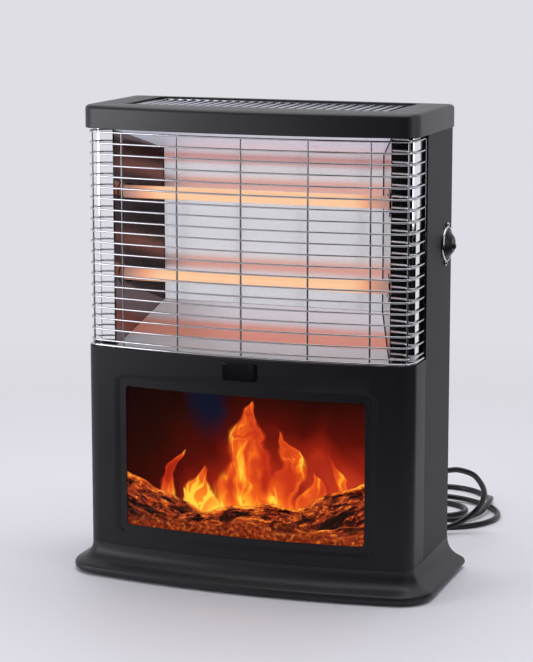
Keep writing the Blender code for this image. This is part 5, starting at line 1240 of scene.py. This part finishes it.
# Cap. One black moulding with rounded upper edges that drops over the panels, open over the
# chamber to let the warm air out.
CAP_LIP = 0.0022
CAP_WALL = 0.0019
CAP_ROUND = 0.0050
CAP_REAR_ROUND = 0.0045
VENT_ROUND = 0.0040
cap_low, cap_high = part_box("top_cap")
grille_low, grille_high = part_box("top_grille")
vent_half = grille_high.x - 0.0040
vent_front, vent_rear = grille_low.y + 0.0050, grille_high.y - 0.0050
sections = [(body_plan(-CAP_LIP, cap_high.y, CAP_REAR_ROUND), cap_low.z)]
for i in range(9):
    turn = math.pi / 2 * i / 8
    inward = CAP_ROUND * (1 - math.cos(turn))
    sections.append((body_plan(-CAP_LIP + inward, cap_high.y - inward, CAP_REAR_ROUND),
                     cap_high.z - CAP_ROUND * (1 - math.sin(turn))))
cap = pulled_up("moulded_cap", sections)
bpy.ops.object.mode_set(mode="EDIT")
bpy.ops.mesh.select_mode(type="FACE")
bpy.ops.mesh.select_all(action="DESELECT")
cap_mesh = bmesh.from_edit_mesh(cap.data)
for face in cap_mesh.faces:                # the two large level faces, above and below
    face.select_set(abs(face.normal.z) > 0.99 and len(face.verts) > 20)
bmesh.update_edit_mesh(cap.data)
bpy.ops.mesh.delete(type="FACE")
bpy.ops.object.mode_set(mode="OBJECT")
vent_reach, vent_middle = (vent_rear - vent_front) / 2, (vent_front + vent_rear) / 2
outline = [(x, y + vent_middle)
           for x, y in rounded_outline(vent_half, -vent_reach, vent_reach, VENT_ROUND, 5)]
top_sheet = flat_sheet("cap_top", [sections[-1][0], outline])
for vertex in top_sheet.data.vertices:
    vertex.co.z = cap_high.z
joined(cap, [top_sheet])
bpy.ops.object.mode_set(mode="EDIT")
bpy.ops.mesh.select_mode(type="VERT")
bpy.ops.mesh.select_all(action="SELECT")
bpy.ops.mesh.remove_doubles(threshold=WELD)
bpy.ops.object.mode_set(mode="OBJECT")
faced_towards(cap, (0, 0, 1))
with_modifier(cap, "SOLIDIFY", thickness=CAP_WALL, offset=-1.0, use_even_offset=True)
eased_edges(cap, MOULDED_EDGE)
finished(cap, ["top_cap"], moulded_black("cap_black", MOULDED_BLACK, 0.58))


# Top grille. Bright-plated bars that run front to back between two rails under the cap.
BAR_PITCH = 0.0114
BAR_WIDTH = 0.0042
BAR_TALL = 0.0036
RAIL_WIDTH = 0.0050


def eased_bar(name, low, high, ease):
    """A straight bar with eased edges."""
    bpy.ops.object.select_all(action="DESELECT")
    bpy.ops.mesh.primitive_cube_add(size=1.0)
    bar = bpy.context.object
    bar.name = bar.data.name = name
    centre = (Vector(low) + Vector(high)) / 2
    extent = Vector(high) - Vector(low)
    bar.data.transform(Matrix.Translation(centre) @ Matrix.Diagonal((*extent, 1.0)))
    bpy.ops.object.mode_set(mode="EDIT")
    bpy.ops.mesh.select_all(action="SELECT")
    bpy.ops.mesh.bevel(offset=ease, segments=2, profile=0.5, affect="EDGES")
    bpy.ops.object.mode_set(mode="OBJECT")
    return bar


bar_count = int(2 * vent_half / BAR_PITCH)
bar_places = [(i - (bar_count - 1) / 2) * BAR_PITCH for i in range(bar_count)]
bar_places += [-vent_half - 0.0012, vent_half + 0.0012]
bars = []
bar_top = grille_high.z - 0.0004
first_bar = eased_bar("vent_bar", (-BAR_WIDTH / 2, grille_low.y + RAIL_WIDTH / 2, bar_top - BAR_TALL),
                      (BAR_WIDTH / 2, grille_high.y - RAIL_WIDTH / 2, bar_top), 0.0010)
for x in bar_places:
    bar = first_bar.copy()
    bar.data = first_bar.data.copy()
    bpy.context.scene.collection.objects.link(bar)
    bar.data.transform(Matrix.Translation((x, 0, 0)))
    bars.append(bar)
bpy.data.objects.remove(first_bar, do_unlink=True)
grille = eased_bar("vent_grille", grille_low, (grille_high.x, grille_low.y + RAIL_WIDTH, grille_high.z),
                   0.0006)
rear_rail = eased_bar("vent_rail", (grille_low.x, grille_high.y - RAIL_WIDTH, grille_low.z), grille_high,
                      0.0006)
joined(grille, [rear_rail] + bars)
smooth_by_angle(grille, 40.0)
finished(grille, ["top_grille"],
         grained_finish("satin_plate", (0.50, 0.51, 0.55), 0.30, 500.0, 0.00002, 60.0, 0.08, 0.08, 1.0))


# Studio. A pale floor that fades into a pale background, a broad soft light at the front left, a
# narrow one at the right and a soft one overhead.
BACKDROP = (0.735, 0.728, 0.775)
bpy.ops.object.select_all(action="DESELECT")
bpy.ops.mesh.primitive_plane_add(size=60.0, location=(0, 0, 0))
floor = bpy.context.object
floor.name = "floor"
floor_finish, tree, shader = plain_finish("pale_floor", {
    "Base Color": (0.87, 0.865, 0.91), "Roughness": 0.55, "Specular IOR Level": 0.15})
distance = tree.nodes.new("ShaderNodeVectorMath")
distance.operation = "LENGTH"
tree.links.new(tree.nodes.new("ShaderNodeTexCoord").outputs["Object"], distance.inputs[0])
path = tree.nodes.new("ShaderNodeLightPath").outputs
seen = maths(tree, "MAXIMUM", maths(tree, "MAXIMUM", path["Is Camera Ray"], path["Is Glossy Ray"]),
             path["Is Transmission Ray"])
far = eased(tree, distance.outputs["Value"], 0.45, 1.6)
backdrop = tree.nodes.new("ShaderNodeEmission")
backdrop.inputs["Color"].default_value = (*BACKDROP, 1.0)


def shown(tree, share, near, other, result):
    """One shader or the other, by a share, as a tree's result."""
    mixed = tree.nodes.new("ShaderNodeMixShader")
    for socket, value in zip(mixed.inputs, (share, near.outputs[0], other.outputs[0])):
        tree.links.new(value, socket)
    tree.links.new(mixed.outputs[0], tree.nodes[result].inputs["Surface"])


shown(tree, maths(tree, "MULTIPLY", far, seen), shader, backdrop, "Material Output")
floor.data.materials.append(floor_finish)

world = bpy.data.worlds.new("studio")
bpy.context.scene.world = world
world.use_nodes = True
tree = world.node_tree
room = tree.nodes["Background"]
room.inputs["Strength"].default_value = 1.0
place = axes(tree, "Generated")
bright = maths(tree, "MAXIMUM", eased(tree, place[1], -0.10, 0.55),
               eased(tree, place[0], -0.15, -0.75, 0.0, 0.55))
tree.links.new(blended(tree, bright, (0.095, 0.095, 0.112), BACKDROP), room.inputs["Color"])
behind = tree.nodes.new("ShaderNodeBackground")
behind.inputs["Color"].default_value = (*BACKDROP, 1.0)
seen = tree.nodes.new("ShaderNodeLightPath").outputs["Is Camera Ray"]
shown(tree, seen, room, behind, "World Output")

card_finish = plain_finish("black_card", {
    "Base Color": (0.004, 0.004, 0.004), "Roughness": 1.0, "Specular IOR Level": 0.0})[0]
for start, end, top in (((0.0, -0.53), (0.62, -0.53), 0.80), ((0.62, -0.53), (0.62, -0.17), 0.70),
                        ((0.62, -0.17), (0.62, 0.55), 0.37), ((-0.55, -0.42), (0.02, -0.42), 0.19)):
    bpy.ops.object.select_all(action="DESELECT")
    bpy.ops.mesh.primitive_plane_add(size=1.0)
    card = bpy.context.object
    card.name = "black_card"
    turn = math.atan2(end[1] - start[1], end[0] - start[0])
    card.data.transform(Matrix.Translation(((start[0] + end[0]) / 2, (start[1] + end[1]) / 2, top / 2))
                        @ Matrix.Rotation(turn, 4, "Z") @ Matrix.Rotation(math.pi / 2, 4, "X")
                        @ Matrix.Diagonal((math.dist(start, end), top, 1.0, 1.0)))
    card.data.materials.append(card_finish)
    card.visible_camera = card.visible_diffuse = card.visible_shadow = False


def soft_light(name, place, target, size, power, colour=(1.0, 1.0, 1.0)):
    """A rectangular soft light aimed at a point."""
    data = bpy.data.lights.new(name, "AREA")
    data.shape = "RECTANGLE"
    data.size, data.size_y = size
    data.energy = power
    data.color = colour
    light = in_scene(name, data)
    light.location = place
    light.rotation_euler = (Vector(target) - Vector(place)).to_track_quat("-Z", "Y").to_euler()


soft_light("left_softbox", (-1.75, -1.45, 0.68), (0, 0, 0.30), (1.3, 1.05), 18.0, (0.94, 0.94, 1.0))
soft_light("right_strip", (1.9, -0.35, 0.8), (0.1, 0, 0.30), (0.45, 1.6), 5.5, (0.92, 0.92, 1.0))
soft_light("overhead", (0.1, 0.1, 2.3), (0, 0, 0.3), (2.2, 2.0), 30.0)
bpy.context.scene.view_settings.view_transform = "Standard"
